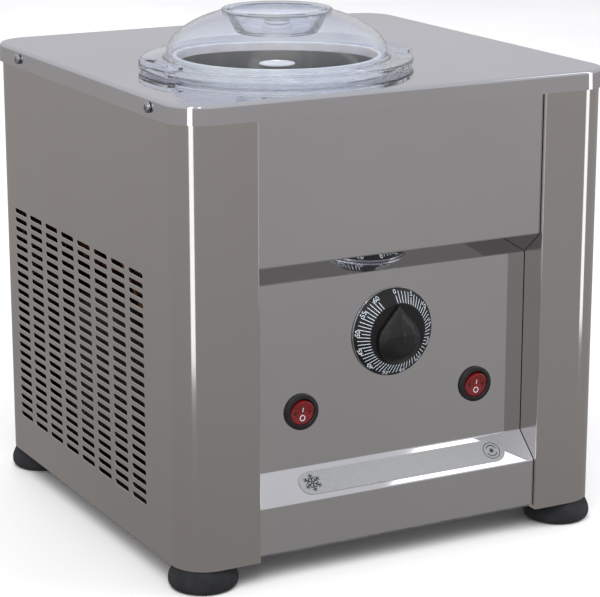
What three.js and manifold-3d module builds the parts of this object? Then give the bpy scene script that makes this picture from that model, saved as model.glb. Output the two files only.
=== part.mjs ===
// Countertop batch ice cream machine: a polished steel cabinet with a fixed freezing bowl, a belt-driven
// paddle under a clear lid, a refrigeration circuit, and a recessed control panel with a timer and two
// rockers. Millimetres. +Z is up, the front faces -Y, and the origin is on the floor under its middle.
import * as THREE from 'three';
import { mergeVertices } from 'three/addons/utils/BufferGeometryUtils.js';
import loadManifold from 'manifold-3d';

const manifold = await loadManifold();
manifold.setup();

// ---- driving dimensions ----
const GAP = 0.3;               // clearance between pieces that touch
const BODY_HALF = 150;         // half of the cabinet's width and of its depth
const BODY_BOTTOM = 15.3;       // underside of the cabinet
const PANEL_TOP = 298.5;       // top edge of the wall panels, under the top plate
const PANEL_BOTTOM = 18.5;     // bottom edge of the front and rear panels
const SHEET = 1.0;             // side panel thickness
const PLATE_SHEET = 1.2;       // top plate, front panel and rear panel thickness
const CORNER_RADIUS = 22;      // front vertical corners
const HEM_RADIUS = 1.5;        // fold at the inner edge of each front column
const OPENING_HALF = 100;      // half of the width between the front columns
const RETURN_DEPTH = 25;       // depth of the column's folded return
const PLATE_HALF = 152.5;
const PLATE_TOP = 301;
const PLATE_FLANGE = 12;
const PLATE_CORNER = 25;
const FRONT_HALF = 99.6;       // half width of the folded front panel
const FACE_Y = -147;           // upper panel and kick plate
const CONTROL_Y = -130;        // recessed control panel
const RETURN_TOP_Z = 199.2;    // lower edge of the upper panel
const CONTROL_TOP_Z = 184.2;
const SILL_TOP_Z = 64.5;
const SILL_FRONT_Z = 48.5;
const REAR_Y = 148.7;          // outer face of the rear panel, behind the side panels' rear edges
const REAR_HALF = 127;         // half width of the rear panel
const REAR_EDGE = 116;         // where the side panels end on the rear face
const VENT = {
  columns: 8, rows: 24, pitchY: 27, pitchZ: 6.28, length: 20.5, height: 3.1, midY: 13, topZ: 188.5,
};
const REAR_VENT = { columns: 4, rows: 10, pitchX: 27, midX: 10, topZ: 262 };
const FLANGE_SCREW_Y = [-110, 96.5];
const FLANGE_SCREW_Z = 295;
const REAR_SCREW_X = 122;
const REAR_SCREW_Z = [36, 276];
const SCREW = { head: 3.4, shank: 1.7, hole: 2.1, flangeLength: 6, rearLength: 4 };
const FOOT_RADIUS = 22;
const FOOT_SHOULDER = 18.6;     // radius of the foot where it meets the cabinet
const FOOT_INSET = 20;
const TRAY_BOTTOM = BODY_BOTTOM + SHEET + GAP;
const TRAY_SHEET = 1.5;
const TRAY_FLOOR = TRAY_BOTTOM + TRAY_SHEET + GAP;
const TRAY_HEIGHT = 22;
const BOWL_X = -31;            // the bowl, paddle and lid share this axis
const BOWL_Y = -40;
const BOWL_RADIUS = 63;
const BOWL_WALL = 1.5;
const BOWL_RIM_Z = 302;
const COLLAR_TOP_Z = 308.6;    // top of the gasket that stands on the bowl's rim
const BOWL_FLOOR_Z = 207;
const BOWL_HOLE = 66.8;        // hole in the top plate
const BOWL_SEAT = 78;          // radius of the flange that hangs the bowl under the top plate
const BOWL_SEAT_Z = 297.5;
const TUBE_RADIUS = 11;        // standpipe that lifts the paddle drive above the mix
const TUBE_TOP_Z = 280;
const SHAFT_RADIUS = 6;
const HUB_TOP_Z = 296;
const NUT_TOP_Z = 303;
const NUT_RADIUS = 11.4;
const NUT_NECK = 9;
const INSULATION_RADIUS = 88;
const INSULATION_INNER = 79;
const INSULATION_BOTTOM = 190;
const COIL = { radius: 74, pipe: 3.5, bottom: 214, top: 288, turns: 5 };
const LID_RADIUS = 86.5;
const LID_RING_Z = 303;
const LID_RING_TOP = 307;
const LID_DOME_RADIUS = 70.4;
const LID_DOME_RISE = 31;      // height of the dome's elliptical part
const LID_DOME_WALL = 1.5;     // height of the straight part under it
const LID_WALL = 2.6;
const LID_BORE = 32.5;         // hole in the dome that the cap drops into
const CAP_RADIUS = 35;
const CAP_TOP_Z = 337.5;
const CAP_FLOOR_RADIUS = 24;
const CAP_FLOOR_Z = 324;
const CAP_WALL = 1.8;
const PULLEY_Z = 174;          // middle of the belt
const DRIVE_PITCH = 13;        // pitch radius of the motor pulley
const DRIVEN_PITCH = 52;       // pitch radius of the paddle pulley, four times the motor pulley's
const BELT_HALF = 1.5;
const MOTOR = { x: 45, y: 100, seat: 58, radius: 35, top: 156, shaft: 5 };
const CAPACITOR = { radius: 14, bottom: TRAY_FLOOR + GAP, top: 70 };
const COMPRESSOR = { x: -78, y: 64, radius: 54, top: 145 };
const CONDENSER = { low: 113, high: 141, halfY: 70, bottom: 28, top: 162, fins: 11 };
const FAN = { x: 97, y: 1, z: 95, motor: 58, motorRadius: 24, hub: 14, tip: 50, opening: 56, blades: 5 };
const DRIER = { x: 20, y: -60, z: 40, radius: 10, half: 30 };
const DIAL = { x: 2, z: 144, radius: 28.5, crown: 19.5, rise: 6.6, thick: 1.2, bore: 6 };
const KNOB = { radius: 15, drop: 4, tip: 18.4, tipRadius: 1.2, skirt: 1.8, height: 6.6, crown: 7.2 };
const TIMER = { half: 22, depth: 38, shaft: 3 };
const SWITCH = { x: [-62, 64], z: 100.8, radius: 11.5, hole: 10.2, barrel: 9.8, pocket: 8.5, depth: 26 };
const ROCKER = { radius: 8, pivot: 0.8, tilt: 9 };
const STRIP = { x: 7, length: 150, width: 16, thick: 0.7 };
const INLET = { x: -78, z: 58, halfX: 14, halfZ: 10, depth: 24, rimX: 25, rimZ: 12.5, rim: 2.4 };

const group = new THREE.Group();
const { PI, cos, sin, hypot, acos, asin, atan2 } = Math;

// ---- helpers ----
function material(color, roughness, metalness) {
  return new THREE.MeshStandardMaterial({ color, roughness, metalness });
}
const finishes = {
  mirrorSteel: () => material(0xc8c8ce, 0.12, 1),
  brushedSteel: () => material(0xbcbcc0, 0.3, 1),
  zincSteel: () => material(0x9a9ca0, 0.45, 0.9),
  aluminium: () => material(0xb0b2b6, 0.4, 0.9),
  copper: () => material(0xb06a42, 0.35, 1),
  rubber: () => material(0x232428, 0.85, 0),
  black: () => material(0x141416, 0.4, 0),
  red: () => material(0x9c1414, 0.25, 0),
  blackPaint: () => material(0x1a1b1d, 0.45, 0.1),
  silverFilm: () => material(0xa8b0b0, 0.4, 0.6),
  foam: () => material(0xd9c79a, 0.9, 0),
  clear: () => material(0xe8eef2, 0.05, 0),
  paddle: () => material(0xd8dadc, 0.35, 0.2),
  silicone: () => material(0xe0e2e6, 0.5, 0),
};

// A closed, indexed solid without the zero-area triangles that lathes leave on their axis.
function toSolid(geometry) {
  const plain = geometry.clone();
  plain.deleteAttribute('normal');
  plain.deleteAttribute('uv');
  const merged = mergeVertices(plain, 1e-4);
  const index = merged.index.array;
  const kept = [];
  for (let i = 0; i < index.length; i += 3) {
    const [a, b, c] = [index[i], index[i + 1], index[i + 2]];
    if (a !== b && b !== c && c !== a) kept.push(a, b, c);
  }
  const vertProperties = new Float32Array(merged.attributes.position.array);
  const triVerts = new Uint32Array(kept);
  return new manifold.Manifold(new manifold.Mesh({ numProp: 3, vertProperties, triVerts }));
}

function toGeometry(solid) {
  const mesh = solid.getMesh();
  const geometry = new THREE.BufferGeometry();
  geometry.setAttribute('position', new THREE.BufferAttribute(mesh.vertProperties, 3));
  geometry.setIndex(new THREE.BufferAttribute(mesh.triVerts, 1));
  geometry.computeVertexNormals();
  return geometry;
}

function add(name, solid, finish, position = [0, 0, 0]) {
  const mesh = new THREE.Mesh(toGeometry(solid), finish());
  mesh.name = name;
  mesh.position.set(...position);
  group.add(mesh);
}

const points = (list) => list.map(([x, y]) => new THREE.Vector2(x, y));

function arc(cx, cy, radius, from, to, steps) {
  return Array.from({ length: steps + 1 }, (_, i) => {
    const angle = ((from + ((to - from) * i) / steps) * PI) / 180;
    return [cx + radius * cos(angle), cy + radius * sin(angle)];
  });
}

// Solid of revolution about Z from (radius, height) pairs.
function turned(profile, segments = 24) {
  return toSolid(new THREE.LatheGeometry(points(profile), segments).rotateX(PI / 2));
}

// A ring of revolution whose closed profile stays off the axis.
const ringTurned = (profile, segments) => turned([...profile, profile[0]], segments);

function extruded(outline, depth) {
  return new THREE.ExtrudeGeometry(new THREE.Shape(points(outline)), { depth, bevelEnabled: false });
}

const prism = (outline, height, bottom = 0) => toSolid(extruded(outline, height).translate(0, 0, bottom));

// A prism whose outline lies in the YZ plane, centred on X.
function crossPrism(outline, width) {
  const basis = new THREE.Matrix4().makeBasis(
    new THREE.Vector3(0, 1, 0), new THREE.Vector3(0, 0, 1), new THREE.Vector3(1, 0, 0));
  return toSolid(extruded(outline, width).translate(0, 0, -width / 2).applyMatrix4(basis));
}

// A box given by its lowest and highest corners.
function block(low, high) {
  const size = high.map((value, i) => value - low[i]);
  return toSolid(new THREE.BoxGeometry(...size).translate(...low.map((value, i) => value + size[i] / 2)));
}

function rod(radius, bottom, top, segments = 16) {
  return turned([[0, bottom], [radius, bottom], [radius, top], [0, top]], segments);
}

// Turns a solid built along +Z to face the front, the rear or the sides.
const toFront = (solid) => solid.rotate([90, 0, 0]);
const toRear = (solid) => solid.rotate([-90, 0, 0]);
const toRight = (solid) => solid.rotate([0, 90, 0]);
const toLeft = (solid) => solid.rotate([0, -90, 0]);
const mirrored = (solid) => solid.mirror([1, 0, 0]);
const union = (...solids) => manifold.Manifold.union(solids.flat());
const degrees = (angle) => (angle * 180) / PI;

function roundedRectangle(halfX, halfY, radius, steps = 6) {
  const corners = [[1, -1, -90], [1, 1, 0], [-1, 1, 90], [-1, -1, 180]];
  return corners.flatMap(([sx, sy, from]) =>
    arc(sx * (halfX - radius), sy * (halfY - radius), radius, from, from + 90, steps));
}

// Outline of a bent sheet: the path, and the same path moved to its right by the thickness.
function bentSheet(path, thickness) {
  const inner = path.map((point, i) => {
    const before = path[Math.max(i - 1, 0)];
    const after = path[Math.min(i + 1, path.length - 1)];
    const normals = [];
    if (i > 0) normals.push(rightNormal(before, point));
    if (i < path.length - 1) normals.push(rightNormal(point, after));
    const sum = normals.reduce(([x, y], [a, b]) => [x + a, y + b], [0, 0]);
    const scale = (normals.length * thickness) / (sum[0] ** 2 + sum[1] ** 2);
    return [point[0] + sum[0] * scale, point[1] + sum[1] * scale];
  });
  return [...path, ...inner.reverse()];
}

function rightNormal([x0, y0], [x1, y1]) {
  const length = hypot(x1 - x0, y1 - y0);
  return [(y1 - y0) / length, (x0 - x1) / length];
}

// A round tube along a curve.
function tube(curve, radius, steps, sides = 6) {
  const shape = new THREE.Shape(points(arc(0, 0, radius, 0, 360, sides).slice(0, -1)));
  return toSolid(new THREE.ExtrudeGeometry(shape, { steps, bevelEnabled: false, extrudePath: curve }));
}

function pipe(route, radius, steps = 14) {
  const stops = route.map((point) => new THREE.Vector3(...point));
  return tube(new THREE.CatmullRomCurve3(stops, false, 'catmullrom', 0.5), radius, steps);
}

class Helix extends THREE.Curve {
  constructor(radius, bottom, top, turns, startDegrees) {
    super();
    Object.assign(this, { radius, bottom, top, turns, start: (startDegrees * PI) / 180 });
  }

  getPoint(t, target = new THREE.Vector3()) {
    const angle = this.start + 2 * PI * this.turns * t;
    const height = this.bottom + (this.top - this.bottom) * t;
    return target.set(this.radius * cos(angle), this.radius * sin(angle), height);
  }
}

// ---- cabinet ----
function slotGrid(columns, rows, pitch, pitchZ, middle, topZ, cutSlot) {
  const slots = [];
  for (let column = 0; column < columns; column += 1) {
    for (let row = 0; row < rows; row += 1) {
      slots.push(cutSlot(middle + (column - (columns - 1) / 2) * pitch, topZ - row * pitchZ));
    }
  }
  return union(slots);
}

function sidePanel() {
  const radius = CORNER_RADIUS;
  const path = [
    [-OPENING_HALF, -BODY_HALF + RETURN_DEPTH],
    ...arc(-OPENING_HALF - HEM_RADIUS, -BODY_HALF + HEM_RADIUS, HEM_RADIUS, 0, -90, 3),
    ...arc(-BODY_HALF + radius, -BODY_HALF + radius, radius, 270, 180, 8),
    ...arc(-BODY_HALF + radius, BODY_HALF - radius, radius, 180, 90, 6),
    [-REAR_EDGE, BODY_HALF],
  ];
  const wall = prism(bentSheet(path, SHEET), PANEL_TOP - BODY_BOTTOM, BODY_BOTTOM);
  const floor = BODY_BOTTOM + SHEET;
  const sideReturn = block([-BODY_HALF + 0.5, -120, BODY_BOTTOM], [-BODY_HALF + 13, 120, floor]);
  const frontReturn = block([-126, -BODY_HALF + 0.5, BODY_BOTTOM], [-104, -BODY_HALF + 12, floor]);
  const cutSlot = (y, z) => block([-BODY_HALF - 2, y - VENT.length / 2, z - VENT.height / 2],
    [-BODY_HALF + 3, y + VENT.length / 2, z + VENT.height / 2]);
  const vents = slotGrid(VENT.columns, VENT.rows, VENT.pitchY, VENT.pitchZ, VENT.midY, VENT.topZ, cutSlot);
  const drill = rod(SCREW.hole, 145, 155, 8);
  const holes = [...FLANGE_SCREW_Y.map((y) => toLeft(drill).translate([0, y, FLANGE_SCREW_Z])),
    ...REAR_SCREW_Z.map((z) => toRear(drill).translate([-REAR_SCREW_X, 0, z]))];
  return union(wall, sideReturn, frontReturn).subtract(union(vents, holes));
}

function topPlate() {
  const shell = prism(roundedRectangle(PLATE_HALF, PLATE_HALF, PLATE_CORNER, 7),
    PLATE_FLANGE, PLATE_TOP - PLATE_FLANGE);
  const inside = PLATE_HALF - PLATE_SHEET;
  const hollow = prism(roundedRectangle(inside, inside, PLATE_CORNER - PLATE_SHEET, 7),
    PLATE_FLANGE, PLATE_TOP - PLATE_FLANGE - PLATE_SHEET);
  const hole = rod(BOWL_HOLE, PLATE_TOP - 5, PLATE_TOP + 5, 40).translate([BOWL_X, BOWL_Y, 0]);
  const drill = rod(SCREW.hole, 145, 160, 8);
  const screwHoles = FLANGE_SCREW_Y.flatMap((y) =>
    [toLeft(drill), toRight(drill)].map((cutter) => cutter.translate([0, y, FLANGE_SCREW_Z])));
  return shell.subtract(union(hollow, hole, screwHoles));
}

function frontPanel() {
  const path = [[FACE_Y, PANEL_BOTTOM], [FACE_Y, SILL_FRONT_Z], [CONTROL_Y, SILL_TOP_Z],
    [CONTROL_Y, CONTROL_TOP_Z], [FACE_Y, RETURN_TOP_Z], [FACE_Y, PANEL_TOP]];
  const sheet = crossPrism(bentSheet(path, PLATE_SHEET), 2 * FRONT_HALF);
  const through = (radius, segments) => toFront(rod(radius, -CONTROL_Y - 10, -CONTROL_Y + 10, segments));
  const cuts = [through(DIAL.bore, 12).translate([DIAL.x, 0, DIAL.z]),
    ...SWITCH.x.map((x) => through(SWITCH.hole, 16).translate([x, 0, SWITCH.z]))];
  return sheet.subtract(union(cuts));
}

function rearPanel() {
  const sheet = block([-REAR_HALF, REAR_Y - PLATE_SHEET, PANEL_BOTTOM], [REAR_HALF, REAR_Y, PANEL_TOP]);
  const cutSlot = (x, z) => block([x - VENT.length / 2, REAR_Y - 5, z - VENT.height / 2],
    [x + VENT.length / 2, REAR_Y + 5, z + VENT.height / 2]);
  const { columns, rows, pitchX, midX, topZ } = REAR_VENT;
  const vents = slotGrid(columns, rows, pitchX, VENT.pitchZ, midX, topZ, cutSlot);
  const [holeX, holeZ] = [INLET.halfX + 0.5, INLET.halfZ + 0.5];
  const inlet = block([INLET.x - holeX, REAR_Y - 5, INLET.z - holeZ],
    [INLET.x + holeX, REAR_Y + 5, INLET.z + holeZ]);
  const drill = rod(SCREW.hole, REAR_Y - 5, REAR_Y + 5, 8);
  const holes = REAR_SCREW_Z.flatMap((z) =>
    [-1, 1].map((side) => toRear(drill).translate([side * REAR_SCREW_X, 0, z])));
  return sheet.subtract(union(vents, inlet, holes));
}

function baseTray() {
  const outline = (inset) => roundedRectangle(BODY_HALF - 1.6 - inset, 145 - inset, 20 - inset, 4);
  const shell = prism(outline(0), TRAY_HEIGHT, TRAY_BOTTOM);
  const hollow = prism(outline(TRAY_SHEET), TRAY_HEIGHT, TRAY_BOTTOM + TRAY_SHEET);
  const notches = [-1, 1].map((side) =>
    block([side * OPENING_HALF - 1.6, -150, 0], [side * OPENING_HALF + 1.6, -124, 60]));
  const bolts = [-1, 1].flatMap((sx) => [-1, 1].map((sy) =>
    rod(3.4, 0, 40, 8).translate([sx * (BODY_HALF - FOOT_INSET), sy * (BODY_HALF - FOOT_INSET), 0])));
  return shell.subtract(union(hollow, notches, bolts));
}

// Pan-head screw along +Z: its seat is at zero height.
function screw(length) {
  const { head, shank } = SCREW;
  const dome = [[head, GAP], [head, 0.9], [head * 0.7, 2.1], [0, 2.4]];
  return turned([[0, -length], [shank, -length], [shank, GAP], ...dome], 8);
}

function foot() {
  const radius = FOOT_RADIUS;
  return ringTurned([[4, 5], [9, 5], [9, 0], [radius - 5.5, 0], ...arc(radius - 5, 5, 5, -70, 0, 3),
    [radius, 7], [FOOT_SHOULDER, BODY_BOTTOM - GAP], [8, BODY_BOTTOM - GAP], [8, TRAY_BOTTOM - GAP],
    [4, TRAY_BOTTOM - GAP]], 18);
}

function footBolt() {
  return turned([[0, 1.5], [6.5, 1.5], [6.5, 5 - GAP], [3, 5 - GAP], [3, 24], [0, 24]], 8);
}

function addCabinet() {
  add('top_plate', topPlate(), finishes.mirrorSteel);
  add('left_side_panel', sidePanel(), finishes.brushedSteel);
  add('right_side_panel', mirrored(sidePanel()), finishes.brushedSteel);
  add('front_panel', frontPanel(), finishes.mirrorSteel);
  add('rear_panel', rearPanel(), finishes.brushedSteel);
  add('base_tray', baseTray(), finishes.zincSteel);
  for (const [side, sx] of [['left', -1], ['right', 1]]) {
    for (const [end, sy] of [['front', -1], ['rear', 1]]) {
      const place = [sx * (BODY_HALF - FOOT_INSET), sy * (BODY_HALF - FOOT_INSET), 0];
      add(`foot_${end}_${side}`, foot(), finishes.rubber, place);
      add(`foot_bolt_${end}_${side}`, footBolt(), finishes.zincSteel, place);
    }
    FLANGE_SCREW_Y.forEach((y, i) => {
      const turn = sx < 0 ? toLeft : toRight;
      const name = `flange_screw_${side}_${['front', 'rear'][i]}`;
      const place = [sx * PLATE_HALF, y, FLANGE_SCREW_Z];
      add(name, turn(screw(SCREW.flangeLength)), finishes.zincSteel, place);
    });
    REAR_SCREW_Z.forEach((z, i) => {
      const name = `rear_screw_${side}_${['low', 'top'][i]}`;
      const place = [sx * REAR_SCREW_X, BODY_HALF, z];
      add(name, toRear(screw(SCREW.rearLength)), finishes.zincSteel, place);
    });
  }
}

// ---- bowl, paddle and lid, all built on the bowl's axis ----
function bowl() {
  const outer = BOWL_RADIUS + BOWL_WALL;
  const lip = outer + 1.2;
  return ringTurned([[TUBE_RADIUS - 2.5, BOWL_FLOOR_Z - BOWL_WALL], [outer - 6, BOWL_FLOOR_Z - BOWL_WALL],
    [outer, BOWL_FLOOR_Z + 5], [outer, BOWL_SEAT_Z], [BOWL_SEAT, BOWL_SEAT_Z],
    [BOWL_SEAT, BOWL_SEAT_Z + BOWL_WALL], [outer, BOWL_SEAT_Z + BOWL_WALL],
    [outer, BOWL_RIM_Z - 2.2], [lip, BOWL_RIM_Z - 2], [lip, BOWL_RIM_Z - 0.4], [outer, BOWL_RIM_Z],
    [BOWL_RADIUS, BOWL_RIM_Z], [BOWL_RADIUS, BOWL_FLOOR_Z + 7], [BOWL_RADIUS - 2, BOWL_FLOOR_Z + 2],
    [BOWL_RADIUS - 7, BOWL_FLOOR_Z], [TUBE_RADIUS, BOWL_FLOOR_Z], [TUBE_RADIUS, TUBE_TOP_Z],
    [TUBE_RADIUS - 2.5, TUBE_TOP_Z]], 32);
}

// A collar that stands on the bowl's rim, with a foot on the top plate.
function gasket() {
  const [inner, foot, outer] = [BOWL_RADIUS + GAP, BOWL_RADIUS + 2.9, BOWL_RADIUS + 9];
  return ringTurned([[foot, PLATE_TOP + GAP], [outer, PLATE_TOP + GAP], [outer, BOWL_RIM_Z + GAP],
    [foot + 1, BOWL_RIM_Z + 0.6], [foot + 0.4, COLLAR_TOP_Z - 0.6], [foot - 0.6, COLLAR_TOP_Z],
    [inner + 0.6, COLLAR_TOP_Z], [inner, COLLAR_TOP_Z - 0.6], [inner, BOWL_RIM_Z + GAP],
    [foot, BOWL_RIM_Z + GAP]], 32);
}

function insulation() {
  const shell = ringTurned([[14.2, INSULATION_BOTTOM], [INSULATION_RADIUS, INSULATION_BOTTOM],
    [INSULATION_RADIUS, 297], [INSULATION_INNER, 297], [INSULATION_INNER, 203], [14.2, 203]], 28);
  return shell.subtract(block([60, -12, 204], [100, 12, 294]).rotate([0, 0, 135]));
}

function paddle() {
  const bore = SHAFT_RADIUS + GAP;
  const sleeve = TUBE_RADIUS + 1.2;
  const hub = ringTurned([[sleeve, BOWL_FLOOR_Z + 5], [20, BOWL_FLOOR_Z + 5], [17, 230], [15.5, 288],
    [12, HUB_TOP_Z], [bore, HUB_TOP_Z], [bore, TUBE_TOP_Z + 4], [sleeve, TUBE_TOP_Z + 4]], 24);
  const plough = block([16, -2, 0], [58, 2, 17]).rotate([38, 0, 0]).translate([0, 0, BOWL_FLOOR_Z + 5]);
  const scraper = block([0, -2, BOWL_FLOOR_Z + 8], [8, 2, 292]).rotate([0, 0, -24]).translate([52, 2, 0]);
  const brace = block([14, -1.8, 262], [55, 1.8, 270]);
  const arm = union(plough, scraper, brace);
  return union(hub, arm, arm.rotate([0, 0, 180]));
}

function paddleNut() {
  const bore = SHAFT_RADIUS + GAP;
  const low = HUB_TOP_Z + GAP;
  return turned([[0, NUT_TOP_Z - 3], [bore, NUT_TOP_Z - 3], [bore, low], [NUT_NECK, low],
    [NUT_NECK, NUT_TOP_Z - 2.2], [NUT_RADIUS, NUT_TOP_Z - 1.6], [NUT_RADIUS, NUT_TOP_Z - 0.4],
    [NUT_RADIUS - 0.4, NUT_TOP_Z], [0, NUT_TOP_Z]], 24);
}

// Half section of the dome, from its foot to the cap's bore, moved inwards by the offset.
function domeCurve(offset, steps) {
  const radius = LID_DOME_RADIUS - offset;
  const end = degrees(acos(LID_BORE / radius));
  const base = LID_RING_TOP + LID_DOME_WALL;
  return arc(0, 0, 1, 0, end, steps).map(([x, y]) => [radius * x, base + (LID_DOME_RISE - offset) * y]);
}

function lid() {
  const outside = domeCurve(0, 7);
  const inside = domeCurve(LID_WALL, 7).reverse();
  const ring = ringTurned([[LID_DOME_RADIUS - LID_WALL, LID_RING_Z], [75, LID_RING_Z],
    [75, PLATE_TOP + GAP], [77, PLATE_TOP + GAP], [77, LID_RING_Z], [LID_RADIUS - 0.5, LID_RING_Z],
    [LID_RADIUS, LID_RING_Z + 0.5], [LID_RADIUS, LID_RING_TOP - 0.5], [LID_RADIUS - 0.5, LID_RING_TOP],
    [LID_DOME_RADIUS, LID_RING_TOP], ...outside, ...inside], 32);
  const earOutline = [...arc(0, 0, LID_RADIUS + 2.5, -17, 17, 4), ...arc(0, 0, LID_RADIUS - 9, 17, -17, 4)];
  const ear = prism(earOutline, 6, LID_RING_Z - 0.5);
  return union(ring, ear, ear.rotate([0, 0, 180]));
}

function lidCap() {
  const rimLow = domeCurve(0, 1)[1][1] + GAP;
  const neck = LID_BORE - 0.6;
  return turned([[0, CAP_FLOOR_Z - CAP_WALL], [CAP_FLOOR_RADIUS + 1, CAP_FLOOR_Z - CAP_WALL],
    [neck, rimLow - 3.5], [neck, rimLow], [CAP_RADIUS, rimLow], [CAP_RADIUS, CAP_TOP_Z - 0.5],
    [CAP_RADIUS - 0.6, CAP_TOP_Z], [CAP_RADIUS - 2, CAP_TOP_Z], [neck - CAP_WALL, rimLow - 4],
    [CAP_FLOOR_RADIUS - 1, CAP_FLOOR_Z], [10, CAP_FLOOR_Z], [8, CAP_FLOOR_Z + 7],
    [0, CAP_FLOOR_Z + 7]], 24);
}

function addBowlAndLid() {
  const axis = [BOWL_X, BOWL_Y, 0];
  add('bowl', bowl(), finishes.mirrorSteel, axis);
  add('bowl_gasket', gasket(), finishes.silicone, axis);
  add('bowl_insulation', insulation(), finishes.foam, axis);
  const helix = new Helix(COIL.radius, COIL.bottom, COIL.top, COIL.turns, 135);
  add('evaporator_coil', tube(helix, COIL.pipe, COIL.turns * 15), finishes.copper, axis);
  add('paddle', paddle(), finishes.paddle, axis);
  add('paddle_nut', paddleNut(), finishes.paddle, axis);
  add('lid', lid(), finishes.clear, axis);
  add('lid_cap', lidCap(), finishes.clear, axis);
}

// ---- paddle drive ----
function grooved(pitch, bore, hubRadius, segments) {
  const bottom = pitch - BELT_HALF - GAP;
  const [low, high] = [PULLEY_Z - 6, PULLEY_Z + 6];
  const rim = pitch + 4;
  return ringTurned([[bore, low - 3], [hubRadius, low - 3], [hubRadius, low], [rim, low], [rim, low + 1],
    [bottom, PULLEY_Z - 3.6], [bottom, PULLEY_Z + 3.6], [rim, high - 1], [rim, high],
    [bore, high]], segments);
}

function beltLoop() {
  const [dx, dy] = [MOTOR.x - BOWL_X, MOTOR.y - BOWL_Y];
  const towards = degrees(atan2(dy, dx));
  const spread = degrees(acos((DRIVEN_PITCH - DRIVE_PITCH) / hypot(dx, dy)));
  const loop = (offset) => [
    ...arc(BOWL_X, BOWL_Y, DRIVEN_PITCH + offset, towards + spread, towards + 360 - spread, 24),
    ...arc(MOTOR.x, MOTOR.y, DRIVE_PITCH + offset, towards - spread, towards + spread, 10)];
  return prism(loop(BELT_HALF), 6, PULLEY_Z - 3).subtract(prism(loop(-BELT_HALF), 10, PULLEY_Z - 5));
}

function motorBracket() {
  const { x, y, seat } = MOTOR;
  const [low, half, width, sheet, toe] = [TRAY_FLOOR, 36, 50, 2, 10];
  const outline = [[y - half, low], [y - half, seat], [y + half, seat], [y + half, low]];
  const legs = crossPrism(bentSheet(outline, sheet), width).translate([x, 0, 0]);
  const toes = [-half, half - toe].map((from) =>
    block([x - width / 2, y + from, low], [x + width / 2, y + from + toe, low + sheet]));
  return union(legs, toes);
}

function addDrive() {
  const axis = [BOWL_X, BOWL_Y, 0];
  const { x, y, seat, radius, top, shaft } = MOTOR;
  add('drive_shaft', rod(SHAFT_RADIUS, 162, NUT_TOP_Z - 3 - GAP, 16), finishes.zincSteel, axis);
  const bore = SHAFT_RADIUS + 0.5;
  const flangeTop = INSULATION_BOTTOM - GAP;
  const housing = [[bore, 184], [30, 184], [30, flangeTop], [13.6, flangeTop], [13.6, 205], [bore, 205]];
  add('shaft_bearing_housing', ringTurned(housing, 16), finishes.aluminium, axis);
  add('paddle_pulley', grooved(DRIVEN_PITCH, SHAFT_RADIUS + GAP, 16, 26), finishes.aluminium, axis);
  add('drive_belt', beltLoop(), finishes.rubber);
  const well = shaft + 0.4;
  const can = [[0, seat + GAP], [radius - 2, seat + GAP], [radius, seat + 3], [radius, top - 4],
    [radius - 3, top], [16, top], [16, top + 6], [well, top + 6], [well, top - 8], [0, top - 8]];
  add('paddle_motor', turned(can, 24), finishes.blackPaint, [x, y, 0]);
  add('motor_rotor_shaft', rod(shaft, top - 8 + GAP, PULLEY_Z + 9, 12), finishes.zincSteel, [x, y, 0]);
  add('motor_pulley', grooved(DRIVE_PITCH, shaft + GAP, 9, 16), finishes.aluminium, [x, y, 0]);
  add('motor_bracket', motorBracket(), finishes.zincSteel);
  const capacitor = rod(CAPACITOR.radius, CAPACITOR.bottom, CAPACITOR.top, 16);
  add('run_capacitor', capacitor, finishes.black, [x - 43, y + 26, 0]);
}

// ---- refrigeration ----
function compressor() {
  const { x, y, radius, top } = COMPRESSOR;
  const low = TRAY_FLOOR;
  const can = turned([[0, low + 8], [radius - 14, low + 8], [radius - 2, low + 18], [radius, low + 52],
    [radius + 1.5, low + 53], [radius + 1.5, low + 57], [radius, low + 58], [radius - 2, top - 23],
    [radius - 12, top - 8], [radius - 30, top - 2], [0, top]], 20);
  const plate = block([-radius - 4, -42, low + 6], [radius + 4, 42, low + 9]);
  const pads = [-1, 1].flatMap((sx) => [-1, 1].map((sy) =>
    rod(8, low, low + 8, 10).translate([sx * 48, sy * 33, 0])));
  return union(can, plate, pads).translate([x, y, 0]);
}

function condenser() {
  const { low, high, halfY, bottom, top } = CONDENSER;
  const [fin, end] = [0.8, halfY - 1];
  const fins = Array.from({ length: CONDENSER.fins }, (_, i) => {
    const y = FAN.y - end + (i * 2 * end) / (CONDENSER.fins - 1);
    return block([low, y - fin, bottom], [high, y + fin, top]);
  });
  const core = block([low + 8, FAN.y - end, bottom + 4], [high - 8, FAN.y + end, top - 4]);
  const stand = [FAN.y - 60, FAN.y + 60].map((y) =>
    block([low, y - 6, TRAY_FLOOR], [high, y + 6, bottom + 3]));
  return union(fins, core, stand);
}

function fanShroud() {
  const { low, halfY, bottom, top } = CONDENSER;
  const face = low - 5;
  const plate = block([face, FAN.y - halfY, bottom + 2], [face + 2, FAN.y + halfY, top]);
  return plate.subtract(toRight(rod(FAN.opening, face - 8, face + 12, 28)).translate([0, FAN.y, FAN.z]));
}

// A bent strap across the shroud that holds the fan's motor.
function fanBracket() {
  const [back, half] = [CONDENSER.low - 5.5, 64];
  const outline = [[back, FAN.y - half], [FAN.motor - 2, FAN.y - half], [FAN.motor - 2, FAN.y + half],
    [back, FAN.y + half]];
  return prism(bentSheet(outline, 2), 16, FAN.z - 8);
}

function fanBlade() {
  const { hub, tip, blades, x, y, z } = FAN;
  const vanes = Array.from({ length: blades }, (_, i) =>
    block([hub - 3, -13, -0.8], [tip, 13, 0.8]).rotate([28, 0, 0]).rotate([0, 0, (i * 360) / blades]));
  return toRight(union(rod(hub, -7, 7, 16), vanes)).translate([x, y, z]);
}

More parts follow.
